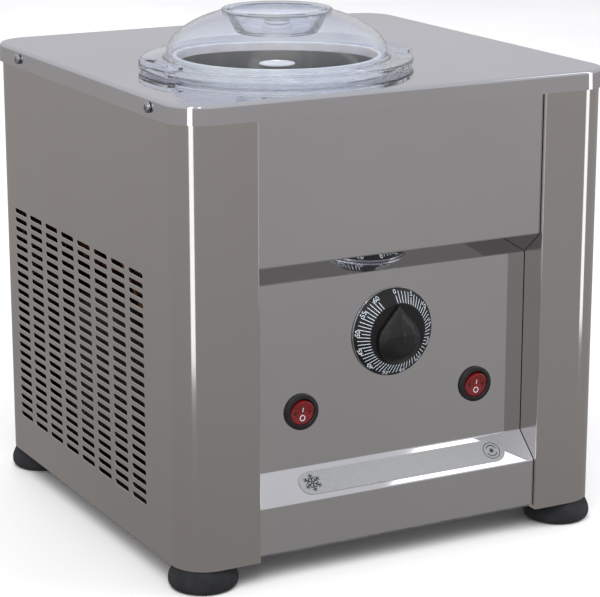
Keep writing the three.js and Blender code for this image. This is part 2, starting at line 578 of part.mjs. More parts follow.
function filterDrier() {
  const { radius, half, x, y, z } = DRIER;
  const profile = [[0, -half], [4, -half], [radius, 8 - half], [radius, half - 8], [4, half], [0, half]];
  return toRear(turned(profile, 12)).translate([x, y, z]);
}

function addRefrigeration() {
  add('compressor', compressor(), finishes.blackPaint);
  add('compressor_relay_box', block([-22, 46, 60], [-6, 82, 100]), finishes.black);
  add('condenser', condenser(), finishes.aluminium);
  add('fan_shroud', fanShroud(), finishes.zincSteel);
  add('fan_bracket', fanBracket(), finishes.zincSteel);
  const motor = toRight(rod(FAN.motorRadius, FAN.motor + GAP, FAN.x - 7 - GAP, 18));
  add('fan_motor', motor, finishes.blackPaint, [0, FAN.y, FAN.z]);
  add('fan_blade', fanBlade(), finishes.aluminium);
  add('filter_drier', filterDrier(), finishes.copper);
  add('discharge_pipe', pipe([[-44.5, 20, 90], [-34, 6, 82], [0, -24, 62], [60, -84, 52],
    [104, -94, 56], [125, -88, 66], [127, -70, 72]], 3.2), finishes.copper);
  add('capillary_pipe', pipe([[20, -91.5, 40], [8, -102, 48], [-60, -100, 58], [-118, -88, 110],
    [-134, -30, 180], [-124, 30, 206], [-104, 33, 213], [-86.5, 15.5, 214]], 2, 20), finishes.copper);
  add('suction_pipe', pipe([[-86.6, 15.6, 288], [-100, 29, 286], [-120, 54, 258], [-130, 96, 200],
    [-104, 130, 160], [-80, 128, 140], [-78, 115.5, 131]], 4), finishes.copper);
}

// ---- controls and power inlet ----
// Drop-shaped outline: a circle below the turning axis, drawn out to a narrow tip above it.
function dropOutline(radius, centre, tip, tipRadius) {
  const reach = tip - tipRadius - centre;
  const lean = degrees(asin((radius - tipRadius) / reach));
  return [...arc(0, centre, radius, 180 - lean, 360 + lean, 20),
    ...arc(0, tip - tipRadius, tipRadius, lean, 180 - lean, 3)];
}

function knob() {
  const { radius, drop, tip, tipRadius, skirt, height, crown } = KNOB;
  const outline = dropOutline(radius, -drop, tip, tipRadius);
  const ridge = [[0.5, tip - 1.5], [-0.5, tip - 1.5]];
  const corners = [...outline.flatMap(([x, y]) => [[x, y, 0], [x, y, skirt]]),
    ...ridge.map(([x, y]) => [x, y, skirt + 0.5]),
    ...arc(0, -drop, crown, 0, 360, 16).slice(1).map(([x, y]) => [x, y, height])];
  const bore = rod(TIMER.shaft + GAP, -1, height - 1.6, 12);
  const front = -CONTROL_Y + GAP + DIAL.rise + DIAL.thick + GAP;
  const solid = manifold.Manifold.hull(corners).subtract(bore);
  return toFront(solid.translate([0, 0, front])).translate([DIAL.x, 0, DIAL.z]);
}

// A dished plate: its printed skirt slopes back from the flat middle to the control panel.
function dialPlate() {
  const low = -CONTROL_Y + GAP;
  const { bore, radius, crown, rise, thick } = DIAL;
  const disc = ringTurned([[bore, low + rise], [crown - 0.6, low + rise], [radius - 1.6, low], [radius, low],
    [radius, low + thick], [crown, low + rise + thick], [bore, low + rise + thick]], 40);
  return toFront(disc).translate([DIAL.x, 0, DIAL.z]);
}

function timerBody() {
  const back = CONTROL_Y + PLATE_SHEET + GAP;
  const { half, depth, shaft } = TIMER;
  const box = block([-half, back, -half], [half, back + depth, half]);
  const bore = toRear(rod(shaft + 0.4, back - 1, back + 9, 12));
  return box.subtract(bore).translate([DIAL.x, 0, DIAL.z]);
}

function switchHousing() {
  const face = -CONTROL_Y + GAP;
  const { radius, barrel, pocket, depth } = SWITCH;
  return toFront(turned([[0, face - depth], [barrel, face - depth], [barrel, face], [radius, face],
    [radius, face + 1.2], [radius - 1.6, face + 2.2], [pocket, face + 2.2], [pocket, face - 6],
    [0, face - 6]], 20));
}

// Built about its own pivot, with the lower half pressed in at rest.
function rocker() {
  const { radius, tilt } = ROCKER;
  const outline = [[-5, -3.5], [5, -3.5], [radius, 2.4], [0, 1.2], [-radius, 2.4]];
  const wedge = crossPrism(outline.map(([z, out]) => [-out, z]), 2 * radius);
  return wedge.intersect(toFront(rod(radius, -8, 8, 24))).rotate([tilt, 0, 0]);
}

function labelStrip() {
  const [run, rise] = [FACE_Y - CONTROL_Y, SILL_FRONT_Z - SILL_TOP_Z];
  const angle = degrees(atan2(-rise, -run));
  const radius = STRIP.width / 2;
  const half = STRIP.length / 2 - radius;
  const outline = [...arc(half, 0, radius, -90, 90, 8), ...arc(-half, 0, radius, 90, 270, 8)];
  return prism(outline, STRIP.thick, GAP).rotate([angle, 0, 0])
    .translate([STRIP.x, (FACE_Y + CONTROL_Y) / 2, (SILL_FRONT_Z + SILL_TOP_Z) / 2]);
}

function powerInlet() {
  const face = REAR_Y + GAP;
  const { halfX, halfZ, depth, rimX, rimZ, rim } = INLET;
  const body = block([-halfX, face - depth, -halfZ], [halfX, face + 1, halfZ]);
  const flange = block([-rimX, face, -rimZ], [rimX, face + rim, rimZ]);
  const recess = block([2 - halfX, face - 15, 2 - halfZ], [halfX - 2, face + 5, halfZ - 2]);
  const pins = [[-7, -2], [0, 2], [7, -2]].map(([x, z]) =>
    block([x - 1, face - 17, z - 2], [x + 1, face - 6, z + 2]));
  return union(union(body, flange).subtract(recess), pins).translate([INLET.x, 0, INLET.z]);
}

function addControls() {
  add('timer_body', timerBody(), finishes.black);
  const knobBack = DIAL.rise + DIAL.thick + 2 * GAP;
  const shaft = toRear(rod(TIMER.shaft, CONTROL_Y - knobBack - KNOB.height + 2, CONTROL_Y + 8, 12));
  add('timer_shaft', shaft, finishes.zincSteel, [DIAL.x, 0, DIAL.z]);
  add('dial_plate', dialPlate(), finishes.black);
  add('timer_knob', knob(), finishes.black);
  SWITCH.x.forEach((x, i) => {
    const side = ['left', 'right'][i];
    add(`switch_housing_${side}`, switchHousing(), finishes.black, [x, 0, SWITCH.z]);
    add(`rocker_${side}`, rocker(), finishes.red, [x, CONTROL_Y - ROCKER.pivot, SWITCH.z]);
  });
  add('label_strip', labelStrip(), finishes.silverFilm);
  add('power_inlet', powerInlet(), finishes.black);
}

addCabinet();
addBowlAndLid();
addDrive();
addRefrigeration();
addControls();

export default group;
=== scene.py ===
"""Looks of a countertop batch ice cream machine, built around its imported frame.

Metres, +Z up, the front faces -Y. Every shape starts as a list of polygons, which `piece` turns into
one mesh.
"""
from math import asin, atan2, cos, degrees, hypot, pi, radians, sin, sqrt

import bmesh
import bpy
from mathutils import Matrix, Vector


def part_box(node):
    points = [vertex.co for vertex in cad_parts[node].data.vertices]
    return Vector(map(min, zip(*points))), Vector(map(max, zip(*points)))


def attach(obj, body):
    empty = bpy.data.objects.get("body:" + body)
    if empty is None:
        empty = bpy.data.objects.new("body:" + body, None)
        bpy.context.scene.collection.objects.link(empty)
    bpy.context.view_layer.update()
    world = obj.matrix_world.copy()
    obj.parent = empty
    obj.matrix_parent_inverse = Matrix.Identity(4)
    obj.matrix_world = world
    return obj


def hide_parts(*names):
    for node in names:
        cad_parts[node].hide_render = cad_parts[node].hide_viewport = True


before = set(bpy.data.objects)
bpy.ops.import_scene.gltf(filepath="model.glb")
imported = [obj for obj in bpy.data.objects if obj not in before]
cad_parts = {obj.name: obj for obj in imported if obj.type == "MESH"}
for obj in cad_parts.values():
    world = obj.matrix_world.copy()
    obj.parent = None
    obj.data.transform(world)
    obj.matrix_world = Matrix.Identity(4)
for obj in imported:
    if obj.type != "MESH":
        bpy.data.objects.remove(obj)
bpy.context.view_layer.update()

# ---- driving dimensions that the frame's boxes don't give ----
MM = 0.001
MERGE = 1e-6                  # points closer than this are one point
CLEARANCE = 0.3 * MM          # between pieces that touch
SIDE_SHEET = 1.0 * MM
PLATE_SHEET = 1.2 * MM
CORNER_RADIUS = 22 * MM       # vertical corners of the side panels
HEM_RADIUS = 1.5 * MM         # fold at the inner edge of each front column
COLUMN_RETURN = 25 * MM       # depth of the column's folded return
REAR_EDGE = 116 * MM          # where the side panels end on the rear face
PLATE_CORNER = 25 * MM
PLATE_BEND = 2.4 * MM         # bend between the top and its flange
PLATE_FLARE = 0.45 * MM       # how far the flange opens from its bend to its lower edge
PLATE_HOLE = 66.8 * MM        # radius of the hole round the bowl
PANEL_BEND = 1.3 * MM         # bends of the folded front panel
CONTROL_Y = -130 * MM         # recessed control panel
RETURN_TOP = 199.2 * MM       # lower edge of the upper panel
CONTROL_TOP = 184.2 * MM
SILL_TOP = 64.5 * MM
SILL_FRONT = 48.5 * MM
VENT_COLUMNS, VENT_ROWS = 8, 24
VENT_PITCH, VENT_PITCH_Z = 27 * MM, 6.28 * MM
VENT_MIDDLE, VENT_TOP = 13 * MM, 188.5 * MM
SLOT_HALF, SLOT_RISE = 10.25 * MM, 1.55 * MM
SLOT_EDGE = 0.2 * MM          # rounding of each slot's outer edge
REAR_VENT_COLUMNS, REAR_VENT_ROWS = 4, 10
REAR_VENT_MIDDLE, REAR_VENT_TOP = 10 * MM, 262 * MM
BOWL_RADIUS, BOWL_WALL = 63 * MM, 1.5 * MM
BOWL_FLANGE = 78 * MM         # the flange that carries the bowl, under the top plate
BOWL_FLANGE_LOW, BOWL_FLANGE_TOP = 297.5 * MM, 299 * MM
TUBE_RADIUS, TUBE_TOP = 11 * MM, 280 * MM   # standpipe in the middle of the bowl
SHAFT_BORE = 6.3 * MM         # through the paddle and its nut
LID_EDGE, LID_LOW, LID_TOP = 86.5 * MM, 303 * MM, 307 * MM     # flat ring round the dome
LID_RIB_INNER, LID_RIB_OUTER = 75 * MM, 77 * MM
DOME_RADIUS, DOME_RISE, DOME_STEP = 70.4 * MM, 31 * MM, 1.5 * MM
LID_WALL = 2.6 * MM
LID_BORE = 32.5 * MM          # hole in the dome that the cap drops into
CAP_FLOOR_RADIUS, CAP_FLOOR = 24 * MM, 324 * MM
CAP_WALL = 1.8 * MM
ROCKER_RADIUS = 8.0 * MM
ROCKER_TILT = 9               # degrees, the lower half is pressed in at rest
ROCKER_PIVOT = 0.8 * MM       # in front of the control panel
ROCKER_MIDDLE, ROCKER_RISE, ROCKER_BACK = 1.2 * MM, 1.2 * MM, -3.5 * MM
ROCKER_EDGE = 0.92            # share of the radius where the edge starts to round over
SWITCH_HOLE, SWITCH_LIP = 10.2 * MM, 2.2 * MM
SWITCH_BARREL, SWITCH_DEPTH, POCKET_DEPTH = 9.8 * MM, 26 * MM, 6 * MM
DIAL_MINUTES = 60
DIAL_SWEEP = 330              # degrees that the printed minutes cover
DIAL_BORE, DIAL_BAND = 6 * MM, 0.35 * MM
DIAL_CROWN, DIAL_RISE, DIAL_THICK = 19.5 * MM, 6.6 * MM, 1.2 * MM
TICK_START, TICK_END, NUMBERED_END = 19.8 * MM, 26.4 * MM, 24.0 * MM
TICK_WIDTH = 0.42 * MM
NUMBER_RADIUS, NUMBER_SIZE, NUMBER_SQUEEZE = 26.0 * MM, 4.3 * MM, 0.84
KNOB_RADIUS, KNOB_DROP = 15 * MM, 4 * MM
KNOB_TIP, KNOB_TIP_RADIUS = 18.4 * MM, 1.2 * MM
KNOB_SKIRT, KNOB_HEIGHT = 1.7 * MM, 6.6 * MM
KNOB_WALL, KNOB_FALL = 0.85, 0.24   # slopes of its walls, and of its face towards the tip
KNOB_ROUNDING = 10            # how fast its face falls to each side, per metre
KNOB_RIDGE, KNOB_RIDGE_HALF = 0.45 * MM, 1.2 * MM   # crease from its middle to its tip
PLOUGH_LEAN, SCRAPER_TURN = 38, -24   # degrees
FILM_END, FILM_THICK = 8 * MM, 0.35 * MM
SIGN_INSET = 9.5 * MM         # from the film's ends
INK = 0.06 * MM               # how far a printed mark stands proud
LATHE_STEPS = 96

CAMERA_PLACE = (-0.6941, -1.3100, 0.5273)
CAMERA_YAW, CAMERA_PITCH = 28.15, 14.83
CAMERA_LENS = 136.7


def middle(node):
    """The centre of a node's box."""
    low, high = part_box(node)
    return (low + high) / 2


# ---- outlines ----
def arc(centre, radius, start, end, steps):
    """Points on a circle, from one angle in degrees to another, both included."""
    angles = [radians(start + (end - start) * i / steps) for i in range(steps + 1)]
    return [(centre[0] + radius * cos(a), centre[1] + radius * sin(a)) for a in angles]


def ring_points(radius, steps):
    return arc((0, 0), radius, 0, 360, steps)[:-1]


def filleted(path, radius, steps=4):
    """An open path with each inner corner rounded."""
    rounded = [Vector(path[0])]
    for before, corner, after in zip(path, path[1:], path[2:]):
        corner = Vector(corner)
        back = (Vector(before) - corner).normalized()
        ahead = (Vector(after) - corner).normalized()
        half = back.angle(ahead) / 2
        reach = radius * cos(half) / sin(half)
        centre = corner + (back + ahead).normalized() * radius / sin(half)
        first, last = corner + back * reach - centre, corner + ahead * reach - centre
        turn = atan2(first.x * last.y - first.y * last.x, first.dot(last))
        for i in range(steps + 1):
            rounded.append(centre + Matrix.Rotation(turn * i / steps, 2) @ first)
    return rounded + [Vector(path[-1])]


def rounded_rectangle(half_x, half_y, radius, steps=6):
    x, y = half_x - radius, half_y - radius
    corners = [((x, -y), -90), ((x, y), 0), ((-x, y), 90), ((-x, -y), 180)]
    return [point for centre, start in corners for point in arc(centre, radius, start, start + 90, steps)]


def stadium(half, radius, steps=10):
    """A slot's outline: `half` from the middle to the centre of each round end."""
    return arc((half, 0), radius, -90, 90, steps) + arc((-half, 0), radius, 90, 270, steps)


# ---- surfaces as lists of polygons ----
def moved(polygons, matrix):
    return [[matrix @ Vector(point) for point in polygon] for polygon in polygons]


def shifted(polygons, x=0.0, y=0.0, z=0.0):
    return moved(polygons, Matrix.Translation((x, y, z)))


def bridge(loops, closed=True):
    """Quads between each loop of points and the next."""
    polygons = []
    for low, high in zip(loops, loops[1:]):
        count = len(low)
        for i in range(count if closed else count - 1):
            j = (i + 1) % count
            polygons.append([low[i], low[j], high[j], high[i]])
    return polygons


def lathe(profile, steps=LATHE_STEPS):
    """Turns (radius, height) pairs about Z. A profile that stays off the axis closes on itself."""
    on_axis = profile[0][0] == 0 and profile[-1][0] == 0
    pairs = profile if on_axis else profile + [profile[0]]
    loops = [[Vector((r * cos(2 * pi * i / steps), r * sin(2 * pi * i / steps), z)) for i in range(steps)]
             for r, z in pairs]
    return bridge(loops)


def turned(profile, axis, steps=LATHE_STEPS):
    """A lathe shape whose axis stands upright through a point."""
    return shifted(lathe(profile, steps), axis.x, axis.y)


def prism(outline, low, high):
    bottom = [Vector((x, y, low)) for x, y in outline]
    top = [Vector((x, y, high)) for x, y in outline]
    return bridge([bottom, top]) + [bottom[::-1], top]


def block(low, high):
    corners = [(low[0], low[1]), (high[0], low[1]), (high[0], high[1]), (low[0], high[1])]
    return prism(corners, low[2], high[2])


def stroke(start, end, width, low, high):
    """A straight printed or moulded line."""
    start, end = Vector(start), Vector(end)
    side = (end - start).orthogonal().normalized() * width / 2
    return prism([start + side, end + side, end - side, start - side][::-1], low, high)


def ring_band(inner, outer, start, end, low, high, steps=24):
    """A flat arc of a ring."""
    outline = arc((0, 0), outer, start, end, steps) + arc((0, 0), inner, end, start, steps)
    return prism(outline, low, high)


def relief(outline, height, back, rings=14):
    """A button: its front follows height(x, y) inside the outline and its back is flat."""
    shrunk = [[(x * k / rings, y * k / rings) for x, y in outline] for k in range(1, rings + 1)]
    front = [[Vector((x, y, height(x, y))) for x, y in ring] for ring in shrunk]
    centre = Vector((0, 0, height(0, 0)))
    rim = [Vector((p.x, p.y, back)) for p in front[-1]]
    cap = [[centre, low, high] for low, high in zip(front[0], front[0][1:] + front[0][:1])]
    return cap + bridge([*front, rim]) + [rim[::-1]]


def text_polygons(words, size, thickness):
    """Numbers on the dial, as thin solids centred on the origin."""
    curve = bpy.data.curves.new("words", "FONT")
    curve.body, curve.size, curve.extrude = words, size, thickness / 2
    curve.align_x, curve.align_y, curve.resolution_u = "CENTER", "CENTER", 3
    holder = bpy.data.objects.new("words", curve)
    bpy.context.scene.collection.objects.link(holder)
    bpy.context.view_layer.update()
    mesh = bpy.data.meshes.new_from_object(holder.evaluated_get(bpy.context.evaluated_depsgraph_get()))
    polygons = [[mesh.vertices[i].co.copy() for i in face.vertices] for face in mesh.polygons]
    bpy.data.objects.remove(holder)
    return polygons


# Turns a shape built along +Z, with +Y as its top, to face the front, the rear or the sides.
TO_FRONT = Matrix.Rotation(pi / 2, 4, "X")
TO_REAR = Matrix.Rotation(pi, 4, "Z") @ TO_FRONT
TO_LEFT = Matrix.Rotation(-pi / 2, 4, "Z") @ TO_FRONT
TO_RIGHT = Matrix.Rotation(pi / 2, 4, "Z") @ TO_FRONT
MIRROR = Matrix.Scale(-1, 4, (1, 0, 0))


def placed(polygons, turn, place):
    return moved(polygons, Matrix.Translation(place) @ turn)


# ---- sheet metal ----
def offset_path(path, distance):
    """The path moved to its right."""
    shifted_path = []
    for i, point in enumerate(path):
        normals = []
        for a, b in ((i - 1, i), (i, i + 1)):
            if a >= 0 and b < len(path):
                run = (path[b] - path[a]).normalized()
                normals.append(Vector((run.y, -run.x)))
        total = sum(normals, Vector((0, 0)))
        shifted_path.append(point + total * (len(normals) * distance / total.length_squared))
    return shifted_path


def bent_sheet(path, rows, thickness, half_at=lambda i, j: ""):
    """A thick sheet along a path in plan, between heights. A slot fills two cells, one above the other."""
    path = [Vector(point) for point in path]
    skins = [path, offset_path(path, thickness)]
    polygons = []
    for skin in skins:
        for i, (start, end) in enumerate(zip(skin, skin[1:])):
            for j, (low, high) in enumerate(zip(rows, rows[1:])):
                half = half_at(i, j)
                if half:
                    polygons.append(slotted_cell(start, end, low, high, half, skin is path))
                else:
                    polygons.append([(*start, low), (*end, low), (*end, high), (*start, high)])
    for i in range(len(path) - 1):
        for j in (0, len(rows) - 1):
            polygons.append([(*skins[k][m], rows[j]) for k, m in ((0, i), (0, i + 1), (1, i + 1), (1, i))])
    for j in range(len(rows) - 1):
        for i in (0, len(path) - 1):
            polygons.append([(*skins[k][i], rows[m]) for k, m in ((0, j), (0, j + 1), (1, j + 1), (1, j))])
    for i in range(len(path) - 1):
        for j in range(len(rows) - 1):
            if half_at(i, j):
                polygons += slot_wall([skin[i] for skin in skins], [skin[i + 1] for skin in skins],
                                      rows[j], rows[j + 1], half_at(i, j), thickness)
    return polygons


def half_slot(start, end, low, high, half, grow):
    """Points of a slot's lower or upper half, from tip to tip along a cell's middle line."""
    centre = (start + end) / 2
    along = (end - start).normalized()
    straight = SLOT_HALF - SLOT_RISE
    radius = SLOT_RISE + grow
    sign = -1 if half == "lower" else 1
    height = high if half == "lower" else low
    profile = arc((-straight, 0), radius, 180, 90, 6) + arc((straight, 0), radius, 90, 0, 6)
    return [(*(centre + along * x), height + sign * z) for x, z in profile]


def slotted_cell(start, end, low, high, half, is_outer):
    slot = half_slot(start, end, low, high, half, SLOT_EDGE if is_outer else 0)
    if half == "lower":
        return [(*start, low), (*end, low), (*end, high), *slot[::-1], (*start, high)]
    return [(*start, low), *slot, (*end, low), (*end, high), (*start, high)]


def slot_wall(starts, ends, low, high, half, thickness):
    """The cut edge through the sheet, rounded on the outside."""
    inwards = 1 - SLOT_EDGE / thickness
    rounded = [outer * inwards + inner * (1 - inwards) for outer, inner in (starts, ends)]
    loops = [half_slot(starts[0], ends[0], low, high, half, SLOT_EDGE),
             half_slot(*rounded, low, high, half, 0),
             half_slot(starts[1], ends[1], low, high, half, 0)]
    return bridge([[Vector(point) for point in loop] for loop in loops], closed=False)


def vent_lines(centre, count, pitch):
    """Edges of the columns of slots."""
    return [centre + (i - count / 2) * pitch for i in range(count + 1)]


def vent_rows(low, high, top, count):
    """Heights of a sheet's rows: each slot's lower edge, middle and upper edge, and the sheet's own ends."""
    first = top - (count - 0.5) * VENT_PITCH_Z
    return [low] + [first + i * VENT_PITCH_Z / 2 for i in range(2 * count + 1)] + [high]


def slot_test(columns, count):
    """Says which half of a slot a cell of the sheet holds."""
    def half_of(i, j):
        if i in columns and 1 <= j <= 2 * count:
            return "lower" if j % 2 else "upper"
        return ""
    return half_of


# ---- materials ----
def colour(code):
    """Linear colour from a six-digit sRGB code."""
    values = [int(code[i:i + 2], 16) / 255 for i in (0, 2, 4)]
    return [v / 12.92 if v <= 0.04045 else ((v + 0.055) / 1.055) ** 2.4 for v in values] + [1.0]


class Finish:
    """One procedural material: a Principled shader and short calls that add its texture nodes."""

    def __init__(self, name, **sockets):
        self.material = bpy.data.materials.new(name)
        self.material.use_nodes = True
        self.nodes = self.material.node_tree.nodes
        self.links = self.material.node_tree.links
        self.shader = next(n for n in self.nodes if n.type == "BSDF_PRINCIPLED")
        for socket, value in sockets.items():
            self.shader.inputs[socket.replace("_", " ").title().replace("Ior", "IOR")].default_value = value

    def add(self, kind, **inputs):
        node = self.nodes.new(kind)
        for name, value in inputs.items():
            socket = node.inputs[name.replace("_", " ").title()]
            if isinstance(value, bpy.types.NodeSocket):
                self.links.new(value, socket)
            else:
                socket.default_value = value
        return node

    def place(self, stretch=(1, 1, 1)):
        coordinates = self.nodes.new("ShaderNodeTexCoord")
        return self.add("ShaderNodeMapping", vector=coordinates.outputs["Object"], scale=stretch).outputs[0]

    def noise(self, scale, detail=3.0, stretch=(1, 1, 1), roughness=0.55):
        texture = self.add("ShaderNodeTexNoise", vector=self.place(stretch), scale=scale, detail=detail,
                           roughness=roughness)
        return texture.outputs["Fac"]

    def spread(self, source, low, high, start=0.3, end=0.7):
        """Maps a texture's middle range to a range of values."""
        node = self.add("ShaderNodeMapRange", value=source, from_min=start, from_max=end, to_min=low,
                        to_max=high)
        return node.outputs[0]

    def tones(self, source, dark, light, start=0.3, end=0.7):
        """Mixes two colours by a texture."""
        ramp = self.add("ShaderNodeValToRGB", fac=source)
        ramp.color_ramp.elements[0].position = start
        ramp.color_ramp.elements[1].position = end
        ramp.color_ramp.elements[0].color = colour(dark)
        ramp.color_ramp.elements[1].color = colour(light)
        return ramp.outputs[0]

    def base(self, source):
        self.links.new(source, self.shader.inputs["Base Color"])
        return self

    def rough(self, source):
        self.links.new(source, self.shader.inputs["Roughness"])
        return self

    def skin(self, tone, dark, light, gloss, low, high):
        """Base colour and roughness, each from its own noise, given as a scale and a detail."""
        self.base(self.tones(self.noise(*tone), dark, light))
        self.rough(self.spread(self.noise(*gloss), low, high))

    def bump(self, source, distance, strength=1.0):
        """Adds surface height on top of any bump that is there already."""
        socket = self.shader.inputs["Normal"]
        node = self.add("ShaderNodeBump", height=source, distance=distance, strength=strength)
        if socket.is_linked:
            self.links.new(socket.links[0].from_socket, node.inputs["Normal"])
        self.links.new(node.outputs[0], socket)
        return self


def polished_steel(name, dark, light, roughness):
    """Bright rolled sheet: nearly a mirror, with faint smears and slight waviness."""
    finish = Finish(name, metallic=1.0)
    finish.skin((9, 4), dark, light, (26, 5), roughness * 0.75, roughness * 1.5)
    finish.bump(finish.noise(7, 1), 0.25 * MM, 0.1)
    finish.bump(finish.noise(900, 2), 0.003 * MM, 0.15)
    return finish.material


def brushed_steel(name, dark, light, roughness):
    """Sheet with a fine grain that runs round the cabinet, and smears reflections up and down."""
    finish = Finish(name, metallic=1.0, anisotropic=0.7, anisotropic_rotation=0.25)
    grain = finish.noise(1, 3, (7, 7, 2200), 0.7)
    cloud = finish.noise(5, 3, (1, 1, 0.6))
    finish.base(finish.tones(cloud, dark, light))
    finish.rough(finish.spread(grain, roughness * 0.8, roughness * 1.2))
    finish.bump(grain, 0.006 * MM, 0.3)
    tangent = finish.nodes.new("ShaderNodeTangent")
    tangent.direction_type, tangent.axis = "RADIAL", "Z"
    finish.links.new(tangent.outputs[0], finish.shader.inputs["Tangent"])
    return finish.material


def turned_steel(name):
    """Deep-drawn bowl: fine rings about its axis and a soft shine."""
    finish = Finish(name, metallic=1.0)
    grain = finish.noise(1, 2, (30, 30, 1400), 0.6)
    finish.base(finish.tones(finish.noise(14, 3), "716a62", "837b72"))
    finish.rough(finish.spread(grain, 0.1, 0.2))
    finish.bump(grain, 0.01 * MM, 0.4)
    return finish.material


def zinc_plate(name):
    """Galvanised sheet: flat crystals of slightly different greys."""
    finish = Finish(name, metallic=0.9)
    crystals = finish.add("ShaderNodeTexVoronoi", vector=finish.place(), scale=160).outputs["Color"]
    finish.base(finish.tones(crystals, "85888c", "a6a9ad", 0.0, 1.0))
    finish.rough(finish.spread(finish.noise(120, 3), 0.35, 0.55))
    finish.bump(finish.noise(500, 2), 0.02 * MM, 0.4)
    return finish.material


def plated_screw(name):
    finish = Finish(name, metallic=1.0)
    finish.skin((500, 2), "a8aaae", "d2d3d6", (900, 2), 0.12, 0.28)
    return finish.material


def aluminium(name):
    finish = Finish(name, metallic=0.95)
    finish.skin((90, 4), "9a9ca0", "bcbec1", (300, 3), 0.3, 0.5)
    finish.bump(finish.noise(700, 2), 0.02 * MM, 0.3)
    return finish.material


def copper_pipe(name):
    """Drawn copper with darker oxide patches."""
    finish = Finish(name, metallic=1.0)
    finish.base(finish.tones(finish.noise(70, 5), "7c4429", "c27a50", 0.25, 0.65))
    finish.rough(finish.spread(finish.noise(120, 4), 0.25, 0.5))
    finish.bump(finish.noise(400, 2), 0.02 * MM, 0.3)
    return finish.material


def black_rubber(name):
    """Moulded rubber: dull, with a fine pitted skin and a little dust."""
    finish = Finish(name, specular_ior_level=0.35)
    finish.skin((60, 5), "1d1e21", "2c2d31", (200, 3), 0.6, 0.85)
    finish.bump(finish.noise(1400, 3), 0.03 * MM, 0.6)
    return finish.material


def moulded_plastic(name, dark, light, low, high, grain=0.02):
    """Injection-moulded plastic with a fine grain and uneven gloss."""
    finish = Finish(name)
    finish.skin((110, 3), dark, light, (240, 4), low, high)
    finish.bump(finish.noise(1600, 2), grain * MM, 0.4)
    return finish.material


def gloss_plastic(name, dark, light):
    """Shiny plastic under a clear skin, as on a rocker."""
    finish = Finish(name, coat_weight=0.6, coat_roughness=0.05)
    finish.skin((260, 3), dark, light, (400, 3), 0.18, 0.34)
    finish.bump(finish.noise(500, 1), 0.02 * MM, 0.15)
    return finish.material


def clear_plastic(name):
    """Transparent lid plastic: faint blue, with hair scratches and soft moulding waves."""
    finish = Finish(name, transmission_weight=0.96, ior=1.32)
    finish.base(finish.tones(finish.noise(30, 2), "eff2fb", "fafcff"))
    finish.rough(finish.spread(finish.noise(60, 4), 0.0, 0.05, 0.45, 0.85))
    finish.bump(finish.noise(40, 1), 0.15 * MM, 0.05)
    return finish.material


def white_silicone(name):
    """Soft milky seal."""
    finish = Finish(name, subsurface_weight=0.2)
    finish.skin((90, 3), "bcbfc4", "d0d3d8", (300, 3), 0.35, 0.5)
    finish.bump(finish.noise(1500, 2), 0.01 * MM, 0.3)
    return finish.material


def black_paint(name):
    """Thick black enamel with an orange-peel skin."""
    finish = Finish(name, coat_weight=0.2)
    finish.skin((80, 4), "141517", "222427", (150, 3), 0.3, 0.5)
    finish.bump(finish.noise(450, 1), 0.06 * MM, 0.5)
    return finish.material


def silver_film(name):
    """Printed metallic film with a fine sparkle."""
    finish = Finish(name, metallic=0.55)
    finish.skin((2500, 1), "9b9d9f", "b3b5b5", (900, 2), 0.38, 0.55)
    finish.bump(finish.noise(3000, 1), 0.008 * MM, 0.4)
    return finish.material


def foam(name):
    """Expanded insulation foam: small closed cells."""
    finish = Finish(name)
    cells = finish.add("ShaderNodeTexVoronoi", vector=finish.place(), scale=420).outputs["Distance"]
    finish.base(finish.tones(cells, "b39c63", "dccb98", 0.0, 0.8))
    finish.rough(finish.spread(finish.noise(200, 2), 0.8, 0.95))
    finish.bump(cells, 0.5 * MM, 0.7)
    return finish.material


def printed_ink(name, dark, light):
    finish = Finish(name)
    finish.skin((1200, 2), dark, light, (800, 2), 0.4, 0.6)
    return finish.material


mirror_top = polished_steel("mirror_top", "d3d3d9", "dadae0", 0.022)
mirror_front = polished_steel("mirror_front", "dcdce0", "e0e0e4", 0.04)
panel_steel = brushed_steel("panel_steel", "cfcccb", "d4d2d1", 0.11)
bowl_steel = turned_steel("bowl_steel")
zinc = zinc_plate("zinc")
screw_steel = plated_screw("screw_steel")
aluminium_cast = aluminium("aluminium_cast")
copper = copper_pipe("copper")
rubber = black_rubber("rubber")
black_plastic = moulded_plastic("black_plastic", "101113", "1b1c1f", 0.3, 0.45)
dial_black = moulded_plastic("dial_black", "0a0a0b", "101011", 0.34, 0.45, 0.01)
knob_black = moulded_plastic("knob_black", "0e0e10", "161618", 0.26, 0.38, 0.006)
rocker_red = gloss_plastic("rocker_red", "5e080b", "760b0f")
# Darker red for the rocker's ovals of painted shade, which stand in for the shade in a shallow dimple at each
# end of its axis.
rocker_painted_shade = gloss_plastic("rocker_painted_shade", "330809", "420a0c")
paint = black_paint("paint")
film = silver_film("film")
insulation_foam = foam("insulation_foam")
clear = clear_plastic("clear")
silicone = white_silicone("silicone")
paddle_plastic = moulded_plastic("paddle_plastic", "c6c9cd", "dcdee1", 0.3, 0.45)
ink_white = printed_ink("ink_white", "c3ccd8", "dbe3ee")
ink_dark = printed_ink("ink_dark", "2e3030", "3c3e3e")


# ---- making pieces ----
def shape_mesh(name, polygons):
    """One mesh from polygons, with shared points merged and faces turned outwards."""
    index, points, faces = {}, [], []
    for polygon in polygons:
        face = []
        for point in polygon:
            key = tuple(round(value / MERGE) for value in point)
            if key not in index:
                index[key] = len(points)
                points.append(tuple(point))
            if not face or face[-1] != index[key]:
                face.append(index[key])
        if face[0] == face[-1]:
            face.pop()
        if len(face) > 2:
            faces.append(face)
    mesh = bpy.data.meshes.new(name)
    mesh.from_pydata(points, [], faces)
    mesh.validate()
    work = bmesh.new()
    work.from_mesh(mesh)
    bmesh.ops.recalc_face_normals(work, faces=work.faces)
    work.to_mesh(mesh)
    work.free()
    return mesh


